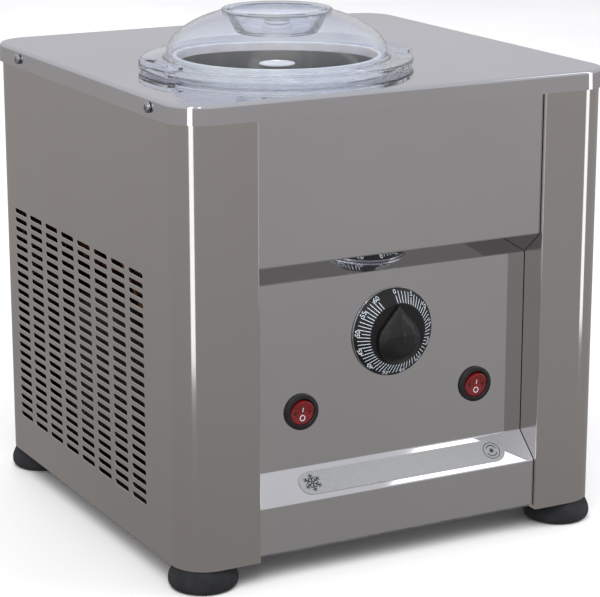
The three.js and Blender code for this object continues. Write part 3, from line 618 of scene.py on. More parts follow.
def loose_object(name, polygons):
    obj = bpy.data.objects.new(name, shape_mesh(name, polygons))
    bpy.context.scene.collection.objects.link(obj)
    return obj


def combine(obj, polygons, operation):
    """Cuts other polygons from an object, or joins them to it, and applies the result."""
    other = loose_object("other", polygons)
    modifier = obj.modifiers.new("combine", "BOOLEAN")
    modifier.object, modifier.operation, modifier.solver = other, operation, "EXACT"
    bpy.context.view_layer.update()
    result = bpy.data.meshes.new_from_object(obj.evaluated_get(bpy.context.evaluated_depsgraph_get()))
    obj.modifiers.clear()
    obj.data = result
    bpy.data.objects.remove(other)


def piece(name, polygons, body, material, replaced=(), joins=(), cuts=(), bevel=0.0, sharp=35):
    """One finished piece: its mesh, rounded edges, even shading, material and body, with the nodes it replaces
    hidden.
    """
    obj = loose_object(name, polygons)
    for other in joins:
        combine(obj, other, "UNION")
    for other in cuts:
        combine(obj, other, "DIFFERENCE")
    obj.data.materials.clear()
    obj.data.materials.append(material)
    obj.data.polygons.foreach_set("use_smooth", [True] * len(obj.data.polygons))
    if bevel:
        rounding = obj.modifiers.new("rounding", "BEVEL")
        rounding.width, rounding.segments = bevel, 2
        rounding.limit_method, rounding.angle_limit = "ANGLE", radians(sharp)
    else:
        obj.data.set_sharp_from_angle(angle=radians(sharp))
    shading = obj.modifiers.new("shading", "WEIGHTED_NORMAL")
    shading.keep_sharp = not bevel
    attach(obj, body)
    if replaced:
        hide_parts(*replaced)
    return obj


# ---- cabinet ----
def side_panel_polygons():
    """The left wall, from the front column's return round the front corner and the side to the rear."""
    low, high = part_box("left_side_panel")
    left, inner, front, rear = low.x, high.x, low.y, high.y
    corner = CORNER_RADIUS
    side_lines = vent_lines(VENT_MIDDLE, VENT_COLUMNS, VENT_PITCH)
    path = [(inner, front + COLUMN_RETURN)]
    path += arc((inner - HEM_RADIUS, front + HEM_RADIUS), HEM_RADIUS, 0, -90, 6)
    path += arc((left + corner, front + corner), corner, 270, 180, 18)
    first_column = len(path)
    path += [(left, y) for y in side_lines]
    path += arc((left + corner, rear - corner), corner, 180, 90, 18)
    path.append((-REAR_EDGE, rear))
    rows = vent_rows(low.z, high.z, VENT_TOP, VENT_ROWS)
    columns = range(first_column, first_column + VENT_COLUMNS)
    wall = bent_sheet(path, rows, SIDE_SHEET, slot_test(columns, VENT_ROWS))
    width, gap, reach = 12 * MM, 0.5 * MM, 120 * MM
    floor = low.z + SIDE_SHEET
    wall += block((left + gap, -reach, low.z), (left + width, reach, floor))
    wall += block((left + 1.2 * corner, front + gap, low.z), (inner - 3 * MM, front + width, floor))
    return wall


def side_panels():
    left = side_panel_polygons()
    for side, wall in (("left", left), ("right", moved(left, MIRROR))):
        piece(f"{side}_panel_skin", wall, "cabinet", panel_steel, [f"{side}_side_panel"])


def drill_profile(radius, low, high):
    return [(0, low), (radius, low), (radius, high), (0, high)]


def plate_loops(half, corner, profile):
    """Loops round the top plate: each profile point is how far in from the rim, and its height."""
    return [[Vector((x, y, z)) for x, y in rounded_rectangle(half - inset, half - inset, corner - inset, 12)]
            for inset, z in profile]


def top_plate():
    low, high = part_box("top_plate")
    half = high.x
    bend, sheet = PLATE_BEND, PLATE_SHEET
    rim = arc((bend + PLATE_FLARE, high.z - bend), bend, 180, 90, 6)
    inner = arc((bend + PLATE_FLARE, high.z - bend), bend - sheet, 90, 180, 4)
    profile = [(0, low.z)] + rim + inner + [(sheet, low.z), (0, low.z)]
    loops = plate_loops(half, PLATE_CORNER, profile)
    shell = bridge(loops[:len(rim) + 1]) + bridge(loops[len(rim) + 1:])
    shell += [loops[len(rim)], loops[len(rim) + 1][::-1]]
    bowl = middle("bowl")
    hole = drill_profile(PLATE_HOLE, high.z - 10 * MM, high.z + 10 * MM)
    piece("top_plate_skin", shell, "cabinet", mirror_top, ["top_plate"],
          cuts=[turned(hole, bowl)])


def front_panel():
    """One folded sheet: kick plate, sloped sill, recessed control panel, sloped return and upper panel."""
    low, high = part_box("front_panel")
    corners = [(low.y, low.z), (low.y, SILL_FRONT), (CONTROL_Y, SILL_TOP), (CONTROL_Y, CONTROL_TOP),
               (low.y, RETURN_TOP), (low.y, high.z)]
    path = filleted(corners, PANEL_BEND, 5)
    sheet = bent_sheet(path, [low.x, high.x], PLATE_SHEET)
    standing = Matrix(((0, 0, 1, 0), (1, 0, 0, 0), (0, 1, 0, 0), (0, 0, 0, 1)))
    dial, left, right = (middle(n) for n in ("dial_plate", "switch_housing_left", "switch_housing_right"))
    holes = []
    for centre, radius in ((dial, DIAL_BORE), (left, SWITCH_HOLE), (right, SWITCH_HOLE)):
        drill = lathe(drill_profile(radius, -12 * MM, 12 * MM), 40)
        holes.append(placed(drill, TO_FRONT, (centre.x, CONTROL_Y, centre.z)))
    piece("front_panel_skin", moved(sheet, standing), "cabinet", mirror_front,
          ["front_panel"], cuts=holes)


def rear_panel():
    low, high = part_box("rear_panel")
    lines = vent_lines(REAR_VENT_MIDDLE, REAR_VENT_COLUMNS, VENT_PITCH)
    path = [(high.x, high.y)] + [(x, high.y) for x in lines[::-1]] + [(low.x, high.y)]
    rows = vent_rows(low.z, high.z, REAR_VENT_TOP, REAR_VENT_ROWS)
    sheet = bent_sheet(path, rows, -PLATE_SHEET, slot_test(range(1, 1 + REAR_VENT_COLUMNS), REAR_VENT_ROWS))
    inlet = middle("power_inlet")
    half_x, half_z, reach = 14.5 * MM, 10.5 * MM, 10 * MM
    opening = block((inlet.x - half_x, high.y - reach, inlet.z - half_z),
                    (inlet.x + half_x, high.y + reach, inlet.z + half_z))
    piece("rear_panel_skin", sheet, "cabinet", panel_steel, ["rear_panel"], cuts=[opening])


def cross_recess(depth):
    """Two cutters for a cross-shaped driver recess, opening along +Z."""
    arm, width, above = 1.7 * MM, 0.45 * MM, 4 * MM
    return [block((-x, -y, depth), (x, y, above)) for x, y in ((arm, width), (width, arm))]


def screw_head(node, turn, seat):
    """A pan head on its seat, with a driver recess, standing for the whole screw."""
    centre = middle(node)
    head, rise = 3.4 * MM, 2.4 * MM
    edge = arc((head - 0.9 * MM, 1.0 * MM), 0.9 * MM, 0, 60, 4)
    dome = arc((0, -2.2 * MM), rise + 2.2 * MM, 62, 90, 6)[1:]
    profile = [(0, -4 * MM), (1.7 * MM, -4 * MM), (1.7 * MM, 0.3 * MM), (head, 0.3 * MM)] + edge + dome
    profile[-1] = (0, rise)
    place = [seat.get(axis, centre[i]) for i, axis in enumerate("xyz")]
    piece(f"{node}_head", placed(lathe(profile, 32), turn, place), "cabinet", screw_steel,
          [node], cuts=[placed(slot, turn, place) for slot in cross_recess(1.2 * MM)])


def screws():
    plate_low, plate_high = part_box("top_plate")
    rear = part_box("left_side_panel")[1].y
    for end in ("front", "rear"):
        screw_head(f"flange_screw_left_{end}", TO_LEFT, {"x": plate_low.x})
        screw_head(f"flange_screw_right_{end}", TO_RIGHT, {"x": plate_high.x})
    for side in ("left", "right"):
        for level in ("low", "top"):
            screw_head(f"rear_screw_{side}_{level}", TO_REAR, {"y": rear})


def feet():
    for end in ("front", "rear"):
        for side in ("left", "right"):
            node = f"foot_{end}_{side}"
            low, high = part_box(node)
            centre = (low + high) / 2
            radius = (high.x - low.x) / 2
            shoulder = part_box("left_side_panel")[0].z - CLEARANCE
            profile = [(4 * MM, 5 * MM), (9 * MM, 5 * MM), (9 * MM, 0), (radius - 4.5 * MM, 0)]
            profile += arc((radius - 4.5 * MM, 4.5 * MM), 4.5 * MM, -70, 0, 8)
            profile += [(radius, 6.6 * MM), (radius - 0.3 * MM, 8 * MM), (radius - 1.1 * MM, 10 * MM),
                        (radius - 3.4 * MM, shoulder), (8 * MM, shoulder), (8 * MM, high.z), (4 * MM, high.z)]
            piece(f"{node}_rubber", turned(profile, centre, 64), "cabinet",
                  rubber, [node])


# ---- bowl, paddle and lid ----
def bowl_and_gasket():
    """The bowl hangs by its flange under the top plate, and the seal sits on its rim."""
    low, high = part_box("bowl")
    axis = (low + high) / 2
    inner, outer = BOWL_RADIUS, BOWL_RADIUS + BOWL_WALL
    floor, rim = low.z + BOWL_WALL, high.z
    bend, tube_bore = 8 * MM, TUBE_RADIUS - 2.5 * MM
    profile = [(tube_bore, low.z)]
    profile += arc((outer - bend, low.z + bend), bend, -90, 0, 8)
    profile += [(outer, BOWL_FLANGE_LOW), (BOWL_FLANGE, BOWL_FLANGE_LOW), (BOWL_FLANGE, BOWL_FLANGE_TOP),
                (outer, BOWL_FLANGE_TOP)]
    profile += arc((outer, rim - 1.2 * MM), 1.2 * MM, -90, 90, 8)
    profile += [(inner, rim)]
    profile += arc((inner - 7 * MM, floor + 7 * MM), 7 * MM, 0, -90, 8)
    profile += [(TUBE_RADIUS + 2 * MM, floor), (TUBE_RADIUS, floor + 2 * MM),
                (TUBE_RADIUS, TUBE_TOP - 1 * MM), (TUBE_RADIUS - 1 * MM, TUBE_TOP), (tube_bore, TUBE_TOP)]
    piece("bowl_shell", turned(profile, axis, 128), "cabinet", bowl_steel,
          ["bowl"])
    low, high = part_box("bowl_gasket")
    foot, flange = inner + 2.9 * MM, rim + CLEARANCE
    seal = [(foot, low.z), (inner + 9 * MM, low.z), (inner + 8.6 * MM, flange),
            (foot + 1 * MM, flange + 0.3 * MM)]
    seal += arc((foot - 0.6 * MM, high.z - 1 * MM), 1 * MM, 0, 90, 5)
    seal += arc((inner + 1.3 * MM, high.z - 1 * MM), 1 * MM, 90, 180, 5)
    seal += [(inner + CLEARANCE, flange), (foot, flange)]
    piece("bowl_seal", turned(seal, axis, 128), "cabinet", silicone,
          ["bowl_gasket"])


def paddle():
    """A hub over the standpipe, with two ploughs, two scrapers and their braces."""
    low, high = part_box("paddle")
    axis = middle("bowl")
    sleeve = TUBE_RADIUS + 1.2 * MM
    hub = [(sleeve, low.z), (20 * MM, low.z), (17.4 * MM, 225 * MM), (16.2 * MM, 250 * MM),
           (15.6 * MM, 288 * MM), (14.6 * MM, 292 * MM), (12 * MM, high.z), (SHAFT_BORE, high.z),
           (SHAFT_BORE, 284 * MM), (sleeve, 284 * MM)]
    plough = block((16 * MM, -2 * MM, 0), (58 * MM, 2 * MM, 17 * MM))
    plough = moved(plough, Matrix.Translation((0, 0, low.z)) @ Matrix.Rotation(radians(PLOUGH_LEAN), 4, "X"))
    scraper = block((0, -2 * MM, low.z + 3 * MM), (8 * MM, 2 * MM, 292 * MM))
    turn = Matrix.Rotation(radians(SCRAPER_TURN), 4, "Z")
    scraper = moved(scraper, Matrix.Translation((52 * MM, 2 * MM, 0)) @ turn)
    brace = block((14 * MM, -1.8 * MM, 262 * MM), (55 * MM, 1.8 * MM, 270 * MM))
    arms = [shifted(moved(part, Matrix.Rotation(turn, 4, "Z")), axis.x, axis.y)
            for part in (plough, scraper, brace) for turn in (0, pi)]
    piece("paddle_moulding", turned(hub, axis, 72), "paddle", paddle_plastic, ["paddle"],
          joins=arms, bevel=0.6 * MM)


def paddle_nut():
    """A pale disc on a dark collar, screwed down on the paddle."""
    low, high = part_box("paddle_nut")
    axis = middle("bowl")
    radius, edge = (high.x - low.x) / 2, 0.6 * MM
    neck, brim = 9 * MM, high.z - 1.6 * MM
    disc = [(0, brim), (radius - edge, brim)] + arc((radius - edge, brim + edge), edge, -60, 60, 6)
    disc += [(radius - 1.2 * MM, high.z - 0.2 * MM), (radius - 2.4 * MM, high.z), (0, high.z)]
    piece("paddle_cap_nut", turned(disc, axis, 64), "paddle",
          paddle_plastic, ["paddle_nut"])
    collar = [(SHAFT_BORE, low.z), (neck - 0.5 * MM, low.z), (neck, low.z + edge), (neck, brim),
              (SHAFT_BORE, brim)]
    piece("paddle_nut_collar", turned(collar, axis, 64), "paddle",
          knob_black)


def dome_points(offset, base, steps):
    """Half section of the dome from its foot to the cap's bore, moved inwards by an offset."""
    radius = DOME_RADIUS - offset
    end = degrees(atan2(sqrt(1 - (LID_BORE / radius) ** 2), LID_BORE / radius))
    return [(radius * x, base + (DOME_RISE - offset) * y) for x, y in arc((0, 0), 1, 0, end, steps)]


def ear_outline(outer, inner, sweep, corner=3.0):
    """A bar along the lid's edge, as wide as the sweep in degrees each way, with its ends rounded off."""
    ends = [(sweep, outer - corner * MM), (sweep, inner + corner * MM)]
    outline = arc((0, 0), outer, -sweep + corner, sweep - corner, 16)
    rounded = [(radius * cos(radians(angle)), radius * sin(radians(angle))) for angle, radius in ends]
    outline += rounded + arc((0, 0), inner, sweep - corner, corner - sweep, 16)
    return outline + [(x, -y) for x, y in rounded[::-1]]


def lid():
    """Dome with a flat rim, a locating rib under it, and a finger grip with a hollow top at each side."""
    low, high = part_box("lid")
    axis = middle("bowl")
    round_edge, fillet, lip = 1.2 * MM, 2.5 * MM, 2.2 * MM
    edge = arc((LID_EDGE - round_edge, LID_LOW + round_edge), round_edge, -90, 0, 5)
    edge += arc((LID_EDGE - round_edge, LID_TOP - round_edge), round_edge, 0, 90, 5)
    foot = arc((DOME_RADIUS + fillet, LID_TOP + fillet), fillet, -90, -170, 6)
    profile = [(DOME_RADIUS - LID_WALL, LID_LOW), (LID_RIB_INNER, LID_LOW), (LID_RIB_INNER, low.z),
               (LID_RIB_OUTER, low.z), (LID_RIB_OUTER, LID_LOW)]
    base = LID_TOP + DOME_STEP
    profile += edge + foot + dome_points(0, base, 26) + dome_points(LID_WALL, base, 26)[::-1]
    outer = (high.x - low.x) / 2
    inner = outer - 11.5 * MM
    grip = prism(ear_outline(outer, inner, 17), LID_LOW - 0.5 * MM, LID_TOP + 1.5 * MM)
    hollow = prism(ear_outline(outer - lip, inner + lip, 14, 2.0), LID_TOP - 1 * MM, high.z)
    turns = [Matrix.Translation((axis.x, axis.y, 0)) @ Matrix.Rotation(turn, 4, "Z") for turn in (0, pi)]
    dome = piece("lid_dome", turned(profile, axis, 128), "lid", clear,
                 ["lid"], joins=[moved(grip, turn) for turn in turns],
                 cuts=[moved(hollow, turn) for turn in turns])
    dome.visible_shadow = False


def lid_cap():
    """A cup that drops into the dome's bore and hangs by its brim, with a small boss on its floor."""
    low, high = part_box("lid_cap")
    axis = middle("lid_cap")
    radius = (high.x - low.x) / 2
    neck = LID_BORE - 0.6 * MM
    shelf = dome_points(0, LID_TOP + DOME_STEP, 1)[1][1] + CLEARANCE
    lip = arc((radius - 1.0 * MM, high.z - 1.0 * MM), 1.0 * MM, 0, 90, 5)
    outer_foot = arc((CAP_FLOOR_RADIUS, low.z + 3 * MM), 3 * MM, -90, -40, 5)
    inner_foot = arc((CAP_FLOOR_RADIUS - 2 * MM, CAP_FLOOR + 3 * MM), 3 * MM, -50, -90, 5)
    boss = arc((6 * MM, CAP_FLOOR + 5 * MM), 2.4 * MM, 0, 90, 5)
    profile = [(0, low.z)] + outer_foot + [(neck, shelf - 3.5 * MM), (neck, shelf), (radius, shelf)] + lip
    profile += [(radius - 2 * MM, high.z), (neck - CAP_WALL, shelf - 4 * MM)] + inner_foot
    profile += [(10 * MM, CAP_FLOOR), (8.8 * MM, CAP_FLOOR + 1.5 * MM)] + boss + [(0, CAP_FLOOR + 7 * MM)]
    cup = piece("lid_cap_cup", turned(profile, axis, 96), "lid_cap", clear,
                ["lid_cap"])
    cup.visible_shadow = False


# ---- controls ----
def dial_face(radius, rim):
    """Height of the dished dial's face: a flat middle and a skirt that slopes back to the rim."""
    return DIAL_THICK + DIAL_RISE * (rim - max(DIAL_CROWN, radius)) / (rim - DIAL_CROWN)


def dial():
    """The dial's disc, its silver rim, and its printed minutes, wrapped on the face."""
    low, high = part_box("dial_plate")
    centre = (low + high) / 2
    radius = (high.x - low.x) / 2
    rim = radius - DIAL_BAND
    bend = [(at, dial_face(at, rim)) for at in (DIAL_CROWN + 0.3 * MM, DIAL_CROWN - 0.3 * MM)]
    disc = lathe([(DIAL_BORE, DIAL_RISE), (DIAL_CROWN - 0.6 * MM, DIAL_RISE), (radius - 1.6 * MM, 0),
                  (rim, 0), (rim, DIAL_THICK), *bend, (DIAL_BORE, DIAL_RISE + DIAL_THICK)], 128)
    seat = (centre.x, high.y, centre.z)
    piece("dial_disc", placed(disc, TO_FRONT, seat), "cabinet", dial_black, ["dial_plate"],
          sharp=50)
    band = lathe([(rim + 0.02 * MM, 0), (radius, 0), (radius, DIAL_THICK - 0.3 * MM),
                  (rim + 0.2 * MM, DIAL_THICK), (rim + 0.02 * MM, DIAL_THICK)], 128)
    piece("dial_rim", placed(band, TO_FRONT, seat), "cabinet", screw_steel)
    printed = []
    low_ink, high_ink = -0.03 * MM, INK
    for minute in range(DIAL_MINUTES + 1):
        angle = radians(90 - minute * DIAL_SWEEP / DIAL_MINUTES)
        out = Vector((cos(angle), sin(angle)))
        numbered = minute % 5 == 0
        end = NUMBERED_END if numbered else TICK_END
        printed += stroke(out * TICK_START, out * end, TICK_WIDTH, low_ink, high_ink)
        if numbered:
            number = text_polygons(str(minute), NUMBER_SIZE, high_ink - low_ink)
            turn = Matrix.Translation((*(out * NUMBER_RADIUS), (low_ink + high_ink) / 2))
            turn = turn @ Matrix.Rotation(angle - pi / 2, 4, "Z") @ Matrix.Diagonal((1, NUMBER_SQUEEZE, 1, 1))
            printed += moved(number, turn)
    wrapped = [[Vector((p.x, p.y, p.z + dial_face(p.xy.length, rim))) for p in polygon]
               for polygon in printed]
    piece("dial_marks", placed(wrapped, TO_FRONT, seat), "cabinet", ink_white)


def drop_outline(radius, centre, tip, tip_radius, steps=120):
    """A circle drawn out to a narrow tip above it."""
    lean = degrees(asin((radius - tip_radius) / (tip - tip_radius - centre)))
    return (arc((0, centre), radius, 180 - lean, 360 + lean, steps)[:-1]
            + arc((0, tip - tip_radius), tip_radius, lean, 180 - lean, 10)[:-1])


def inside_drop(x, y):
    """How far a point lies inside the knob's outline."""
    length = KNOB_TIP - KNOB_TIP_RADIUS + KNOB_DROP
    lean = (KNOB_RADIUS - KNOB_TIP_RADIUS) / length
    rise = sqrt(1 - lean ** 2)
    up = y + KNOB_DROP
    along = rise * up - lean * abs(x)
    if along < 0:
        return KNOB_RADIUS - hypot(x, up)
    if along > rise * length:
        return KNOB_TIP_RADIUS - hypot(x, up - length)
    return KNOB_RADIUS - rise * abs(x) - lean * up


def knob_height(x, y):
    """Front of the knob: walls that lean in to a narrow face, which runs down towards the tip."""
    inside = inside_drop(x, y)
    wall = KNOB_SKIRT + KNOB_WALL * inside
    face = KNOB_HEIGHT - KNOB_FALL * max(0.0, y) - KNOB_ROUNDING * x * x
    if y > -KNOB_DROP:
        face += KNOB_RIDGE * max(0.0, 1 - abs(x) / KNOB_RIDGE_HALF)
    softness = 0.5 * MM + 1.6 * MM * max(0.0, min(1.0, -y / (8 * MM)))
    share = max(0.0, min(1.0, 0.5 + 0.5 * (face - wall) / softness))
    edge = max(0.0, 1 - inside / (0.8 * MM))
    return face * (1 - share) + wall * share - softness * share * (1 - share) - 0.6 * MM * edge ** 2


def knob():
    low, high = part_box("timer_knob")
    outline = drop_outline(KNOB_RADIUS, -KNOB_DROP, KNOB_TIP, KNOB_TIP_RADIUS)
    front = relief(outline, knob_height, 0, 48)
    seat = ((low.x + high.x) / 2, high.y, high.z - KNOB_TIP)
    piece("timer_knob_moulding", placed(front, TO_FRONT, seat), "timer_knob", knob_black,
          ["timer_knob"], sharp=60)


def rocker_height(x, y):
    """Two shallow slopes that meet at the rocker's middle, with rounded outer edges."""
    edge = max(0.0, hypot(x, y) / ROCKER_RADIUS - ROCKER_EDGE) / (1 - ROCKER_EDGE)
    return ROCKER_MIDDLE + ROCKER_RISE * abs(y) / ROCKER_RADIUS - 0.35 * MM * edge ** 2


def on_rocker(outline, lift=0.08 * MM):
    """A raised mark that follows the rocker's slopes."""
    top = [Vector((x, y, rocker_height(x, y) + lift)) for x, y in outline]
    bottom = [Vector((x, y, rocker_height(x, y) - lift)) for x, y in outline]
    return bridge([bottom, top]) + [bottom[::-1], top]


def rocker_marks():
    """The usual on and off signs: a line above, a ring below."""
    half, top, bottom = 0.24 * MM, 3.6 * MM, 0.5 * MM
    marks = on_rocker([(-half, bottom), (half, bottom), (half, top), (-half, top)])
    centre, steps = (0, -3.4 * MM), 24
    for i in range(steps):
        start, end = 360 * i / steps, 360 * (i + 1) / steps
        outline = arc(centre, 1.9 * MM, start, end, 1) + arc(centre, 1.45 * MM, end, start, 1)
        marks += on_rocker(outline)
    return marks


def rocker_dots():
    """Painted shade: a darker oval at each end of the rocker's axis, in place of the shade in a shallow dimple.
    """
    shade_ovals = []
    for side in (-1, 1):
        outline = [(side * 4.9 * MM + x, 1.5 * y) for x, y in ring_points(0.95 * MM, 20)]
        shade_ovals += on_rocker(outline, 0.03 * MM)
    return shade_ovals


def switches():
    """Round bezels, with a two-sloped button, its marks and its ovals of painted shade in each."""
    for side in ("left", "right"):
        housing = f"switch_housing_{side}"
        low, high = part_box(housing)
        centre = (low + high) / 2
        radius = (high.x - low.x) / 2
        seat = low.y + SWITCH_LIP
        pocket = ROCKER_RADIUS + 0.4 * MM
        lip = [(0, -SWITCH_DEPTH), (SWITCH_BARREL, -SWITCH_DEPTH), (SWITCH_BARREL, 0), (radius, 0),
               (radius, 0.7 * MM)]
        lip += arc((radius - 1.1 * MM, 1.0 * MM), 1.1 * MM, 0, 70, 5)
        lip += [(pocket + 0.5 * MM, SWITCH_LIP), (pocket, SWITCH_LIP - 0.5 * MM), (pocket, -POCKET_DEPTH),
                (0, -POCKET_DEPTH)]
        piece(f"{housing}_bezel", placed(lathe(lip, 64), TO_FRONT, (centre.x, seat, centre.z)), "cabinet",
              black_plastic, [housing])
        turn = TO_FRONT @ Matrix.Rotation(radians(ROCKER_TILT), 4, "X")
        place = (centre.x, CONTROL_Y - ROCKER_PIVOT, centre.z)
        body = f"rocker_{side}"
        button = relief(ring_points(ROCKER_RADIUS, 64), rocker_height, ROCKER_BACK, 16)
        piece(f"{body}_button", placed(button, turn, place), body, rocker_red, [body])
        piece(f"{body}_marks", placed(rocker_marks(), turn, place), body, ink_white)
        # Ovals of painted shade at the ends of the rocker's axis.
        piece(f"{body}_dots", placed(rocker_dots(), turn, place), body, rocker_painted_shade)


def snowflake(low, high):
    """Six plain arms with two pairs of twigs each."""
    lines = []
    for k in range(6):
        out = Vector((cos(k * pi / 3 + pi / 6), sin(k * pi / 3 + pi / 6)))
        lines += stroke(out * 0.3 * MM, out * 6.2 * MM, 0.85 * MM, low, high)
        for start, length in ((2.3 * MM, 2.2 * MM), (4.1 * MM, 1.9 * MM)):
            for sign in (-1, 1):
                twig = Matrix.Rotation(sign * radians(55), 2) @ out
                lines += stroke(out * start, out * start + twig * length, 0.7 * MM, low, high)
    return lines


def churn_sign(low, high):
    """Rings seen from above, as of a bowl with its paddle."""
    rings = lathe([(5.5 * MM, low), (6.0 * MM, low), (6.0 * MM, high), (5.5 * MM, high)], 64)
    for start in (20, 200):
        rings += ring_band(3.4 * MM, 4.1 * MM, start, start + 130, low, high)
    return rings + prism(ring_points(1.5 * MM, 24), low, high)


def label_strip():
    """Film on the sill's slope, with a generic sign at each end and nothing between them."""
    low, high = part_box("label_strip")
    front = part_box("front_panel")[0].y
    slope = atan2(SILL_TOP - SILL_FRONT, CONTROL_Y - front)
    half = (high.x - low.x) / 2
    centre = ((low.x + high.x) / 2, (front + CONTROL_Y) / 2, (SILL_TOP + SILL_FRONT) / 2)
    turn = Matrix.Rotation(slope, 4, "X")
    strip = prism(stadium(half - FILM_END, FILM_END), 0.1 * MM, FILM_THICK)
    piece("sill_film", placed(strip, turn, centre), "cabinet", film, ["label_strip"])
    signs = shifted(snowflake(FILM_THICK, FILM_THICK + INK), x=-half + SIGN_INSET)
    signs += shifted(churn_sign(FILM_THICK, FILM_THICK + INK), x=half - SIGN_INSET)
    piece("sill_signs", placed(signs, turn, centre), "cabinet", ink_dark)


def power_inlet():
    """Appliance inlet: a flange, a keyed recess and three blades."""
    low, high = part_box("power_inlet")
    centre = (low + high) / 2
    half_x, half_z = (high.x - low.x) / 2, (high.z - low.z) / 2
    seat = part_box("rear_panel")[1].y + CLEARANCE
    flange = prism(rounded_rectangle(half_x, half_z, 3 * MM), 0, high.y - seat)
    body = block((-14 * MM, -10 * MM, -24 * MM), (14 * MM, 10 * MM, 1 * MM))
    keyed = [(x * MM, y * MM) for x, y in ((-12, -8), (12, -8), (12, 3.5), (7.5, 8), (-7.5, 8), (-12, 3.5))]
    place = (centre.x, seat, centre.z)
    piece("power_inlet_socket", placed(flange, TO_REAR, place), "cabinet", black_plastic,
          ["power_inlet"], joins=[placed(body, TO_REAR, place)],
          cuts=[placed(prism(keyed, -16 * MM, 5 * MM), TO_REAR, place)], bevel=0.3 * MM)
    blades = []
    for x, y in ((-7, -2), (0, 2), (7, -2)):
        blades += block(((x - 1) * MM, (y - 2) * MM, -17 * MM), ((x + 1) * MM, (y + 2) * MM, -6 * MM))
    piece("power_inlet_blades", placed(blades, TO_REAR, place), "cabinet", screw_steel,
          bevel=0.3 * MM)


# ---- nodes that keep their CAD shape ----
def carried_over():
    """Materials of the inner parts, which show only through the slots or with the lid off."""
    finishes = {
        zinc: ["base_tray", "foot_bolt_front_left", "foot_bolt_front_right", "foot_bolt_rear_left",
               "foot_bolt_rear_right", "motor_bracket", "fan_shroud", "fan_bracket", "motor_rotor_shaft",
               "drive_shaft", "timer_shaft"],
        aluminium_cast: ["shaft_bearing_housing", "paddle_pulley", "motor_pulley", "condenser", "fan_blade"],
        copper: ["evaporator_coil", "filter_drier", "discharge_pipe", "capillary_pipe", "suction_pipe"],
        paint: ["paddle_motor", "compressor", "fan_motor"],
        black_plastic: ["compressor_relay_box", "run_capacitor", "timer_body"],
        rubber: ["drive_belt"],
        insulation_foam: ["bowl_insulation"],
    }
    for material, nodes in finishes.items():
        for name in nodes:
            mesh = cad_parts[name].data
            mesh.materials.clear()
            mesh.materials.append(material)


# ---- studio ----
def studio_camera():
    data = bpy.data.cameras.new("camera")
    data.lens, data.sensor_width = CAMERA_LENS, 36
    camera = bpy.data.objects.new("camera", data)
    camera.location = CAMERA_PLACE
    camera.rotation_euler = (radians(90 - CAMERA_PITCH), 0, radians(-CAMERA_YAW))
    bpy.context.scene.collection.objects.link(camera)
    bpy.context.scene.camera = camera


# The plain studio's tones by the upward part of a direction, the same all the way round. They were chosen:
# pale overhead, and a darker grey low down, which keeps polished steel from looking white.
STUDIO_TONES = [(-1.0, "605e5c"), (-0.4, "7e7b79"), (-0.05, "9c9997"), (0.1, "b6b6b9"), (1.0, "c0c0c2")]
WORLD_STRENGTH = 1.25
# Two upright soft lights stand in front, one on each side, so that the rounded corners catch a highlight.
STRIP_ANGLE, STRIP_AWAY, STRIP_WIDTH, STRIP_HEIGHT, STRIP_GAP = radians(50), 0.6, 0.1, 0.8, 0.02
STRIP_POWER = 0.3


def studio_world():
    """A soft surround: pale above the horizon and greyer below it."""
    world = bpy.data.worlds.new("studio")
    bpy.context.scene.world = world
    world.use_nodes = True
    nodes, links = world.node_tree.nodes, world.node_tree.links
    direction = nodes.new("ShaderNodeSeparateXYZ")
    height = nodes.new("ShaderNodeMapRange")
    height.inputs["From Min"].default_value = -1.0
    ramp = nodes.new("ShaderNodeValToRGB")
    links.new(nodes.new("ShaderNodeTexCoord").outputs["Generated"], direction.inputs[0])
    links.new(direction.outputs["Z"], height.inputs["Value"])
    links.new(height.outputs["Result"], ramp.inputs[0])
    elements = ramp.color_ramp.elements
    elements.remove(elements[-1])
    for i, (rise, code) in enumerate(STUDIO_TONES):
        position = (rise + 1) / 2
        element = elements[0] if i == 0 else elements.new(position)
        element.position, element.color = position, colour(code)
    background = next(n for n in nodes if n.type == "BACKGROUND")
    links.new(ramp.outputs[0], background.inputs["Color"])
    background.inputs["Strength"].default_value = WORLD_STRENGTH


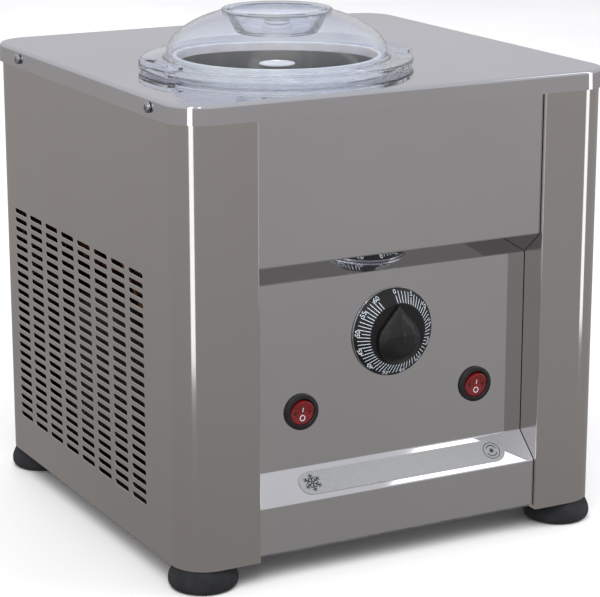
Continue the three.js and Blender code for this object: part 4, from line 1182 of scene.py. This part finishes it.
def softbox(name, place, target, size, power, tint=(1, 1, 1), mirrored=False):
    """A soft light. Steel and glass mirror it only where it says so."""
    data = bpy.data.lights.new(name, "AREA")
    data.shape, data.energy, data.color = "RECTANGLE", power, tint
    data.size, data.size_y = size
    light = bpy.data.objects.new(name, data)
    light.location = place
    light.rotation_euler = (Vector(target) - Vector(place)).to_track_quat("-Z", "Y").to_euler()
    light.visible_glossy = light.visible_transmission = mirrored
    light.visible_camera = False
    bpy.context.scene.collection.objects.link(light)


def studio_floor():
    """A wide pale floor. Polished steel sees the studio's tones instead of it."""
    half = 15
    floor = loose_object("floor", [[(-half, -half, 0), (half, -half, 0), (half, half, 0), (-half, half, 0)]])
    paint_finish = Finish("floor_paint")
    paint_finish.base(paint_finish.tones(paint_finish.noise(3, 2), "f4f4f5", "f8f8f8"))
    paint_finish.shader.inputs["Roughness"].default_value = 0.9
    floor.data.materials.append(paint_finish.material)
    floor.visible_glossy = False


def studio():
    studio_world()
    studio_floor()
    softbox("key", (-1.1, -1.4, 2.2), (0, 0, 0.1), (2.0, 2.0), 46, (1, 0.99, 0.97))
    softbox("fill", (1.9, -0.9, 1.9), (0, 0, 0.1), (1.8, 1.8), 22, (0.97, 0.98, 1))
    softbox("back", (0.4, 2.3, 2.2), (0, 0, 0.2), (2.0, 2.0), 26)
    softbox("window", (-0.95, -1.75, 1.9), (0, 0, 0.3), (0.3, 0.22), 2.5, mirrored=True)
    middle = STRIP_GAP + STRIP_HEIGHT / 2
    for side, sign in (("left", -1), ("right", 1)):
        place = (sign * STRIP_AWAY * sin(STRIP_ANGLE), -STRIP_AWAY * cos(STRIP_ANGLE), middle)
        softbox(f"{side}_strip", place, (0, 0, middle), (STRIP_WIDTH, STRIP_HEIGHT), STRIP_POWER, mirrored=True)
    view = bpy.context.scene.view_settings
    view.view_transform, view.look = "Standard", "None"


studio_camera()
studio()
side_panels()
top_plate()
front_panel()
rear_panel()
screws()
feet()
bowl_and_gasket()
paddle()
paddle_nut()
lid()
lid_cap()
dial()
knob()
switches()
label_strip()
power_inlet()
carried_over()
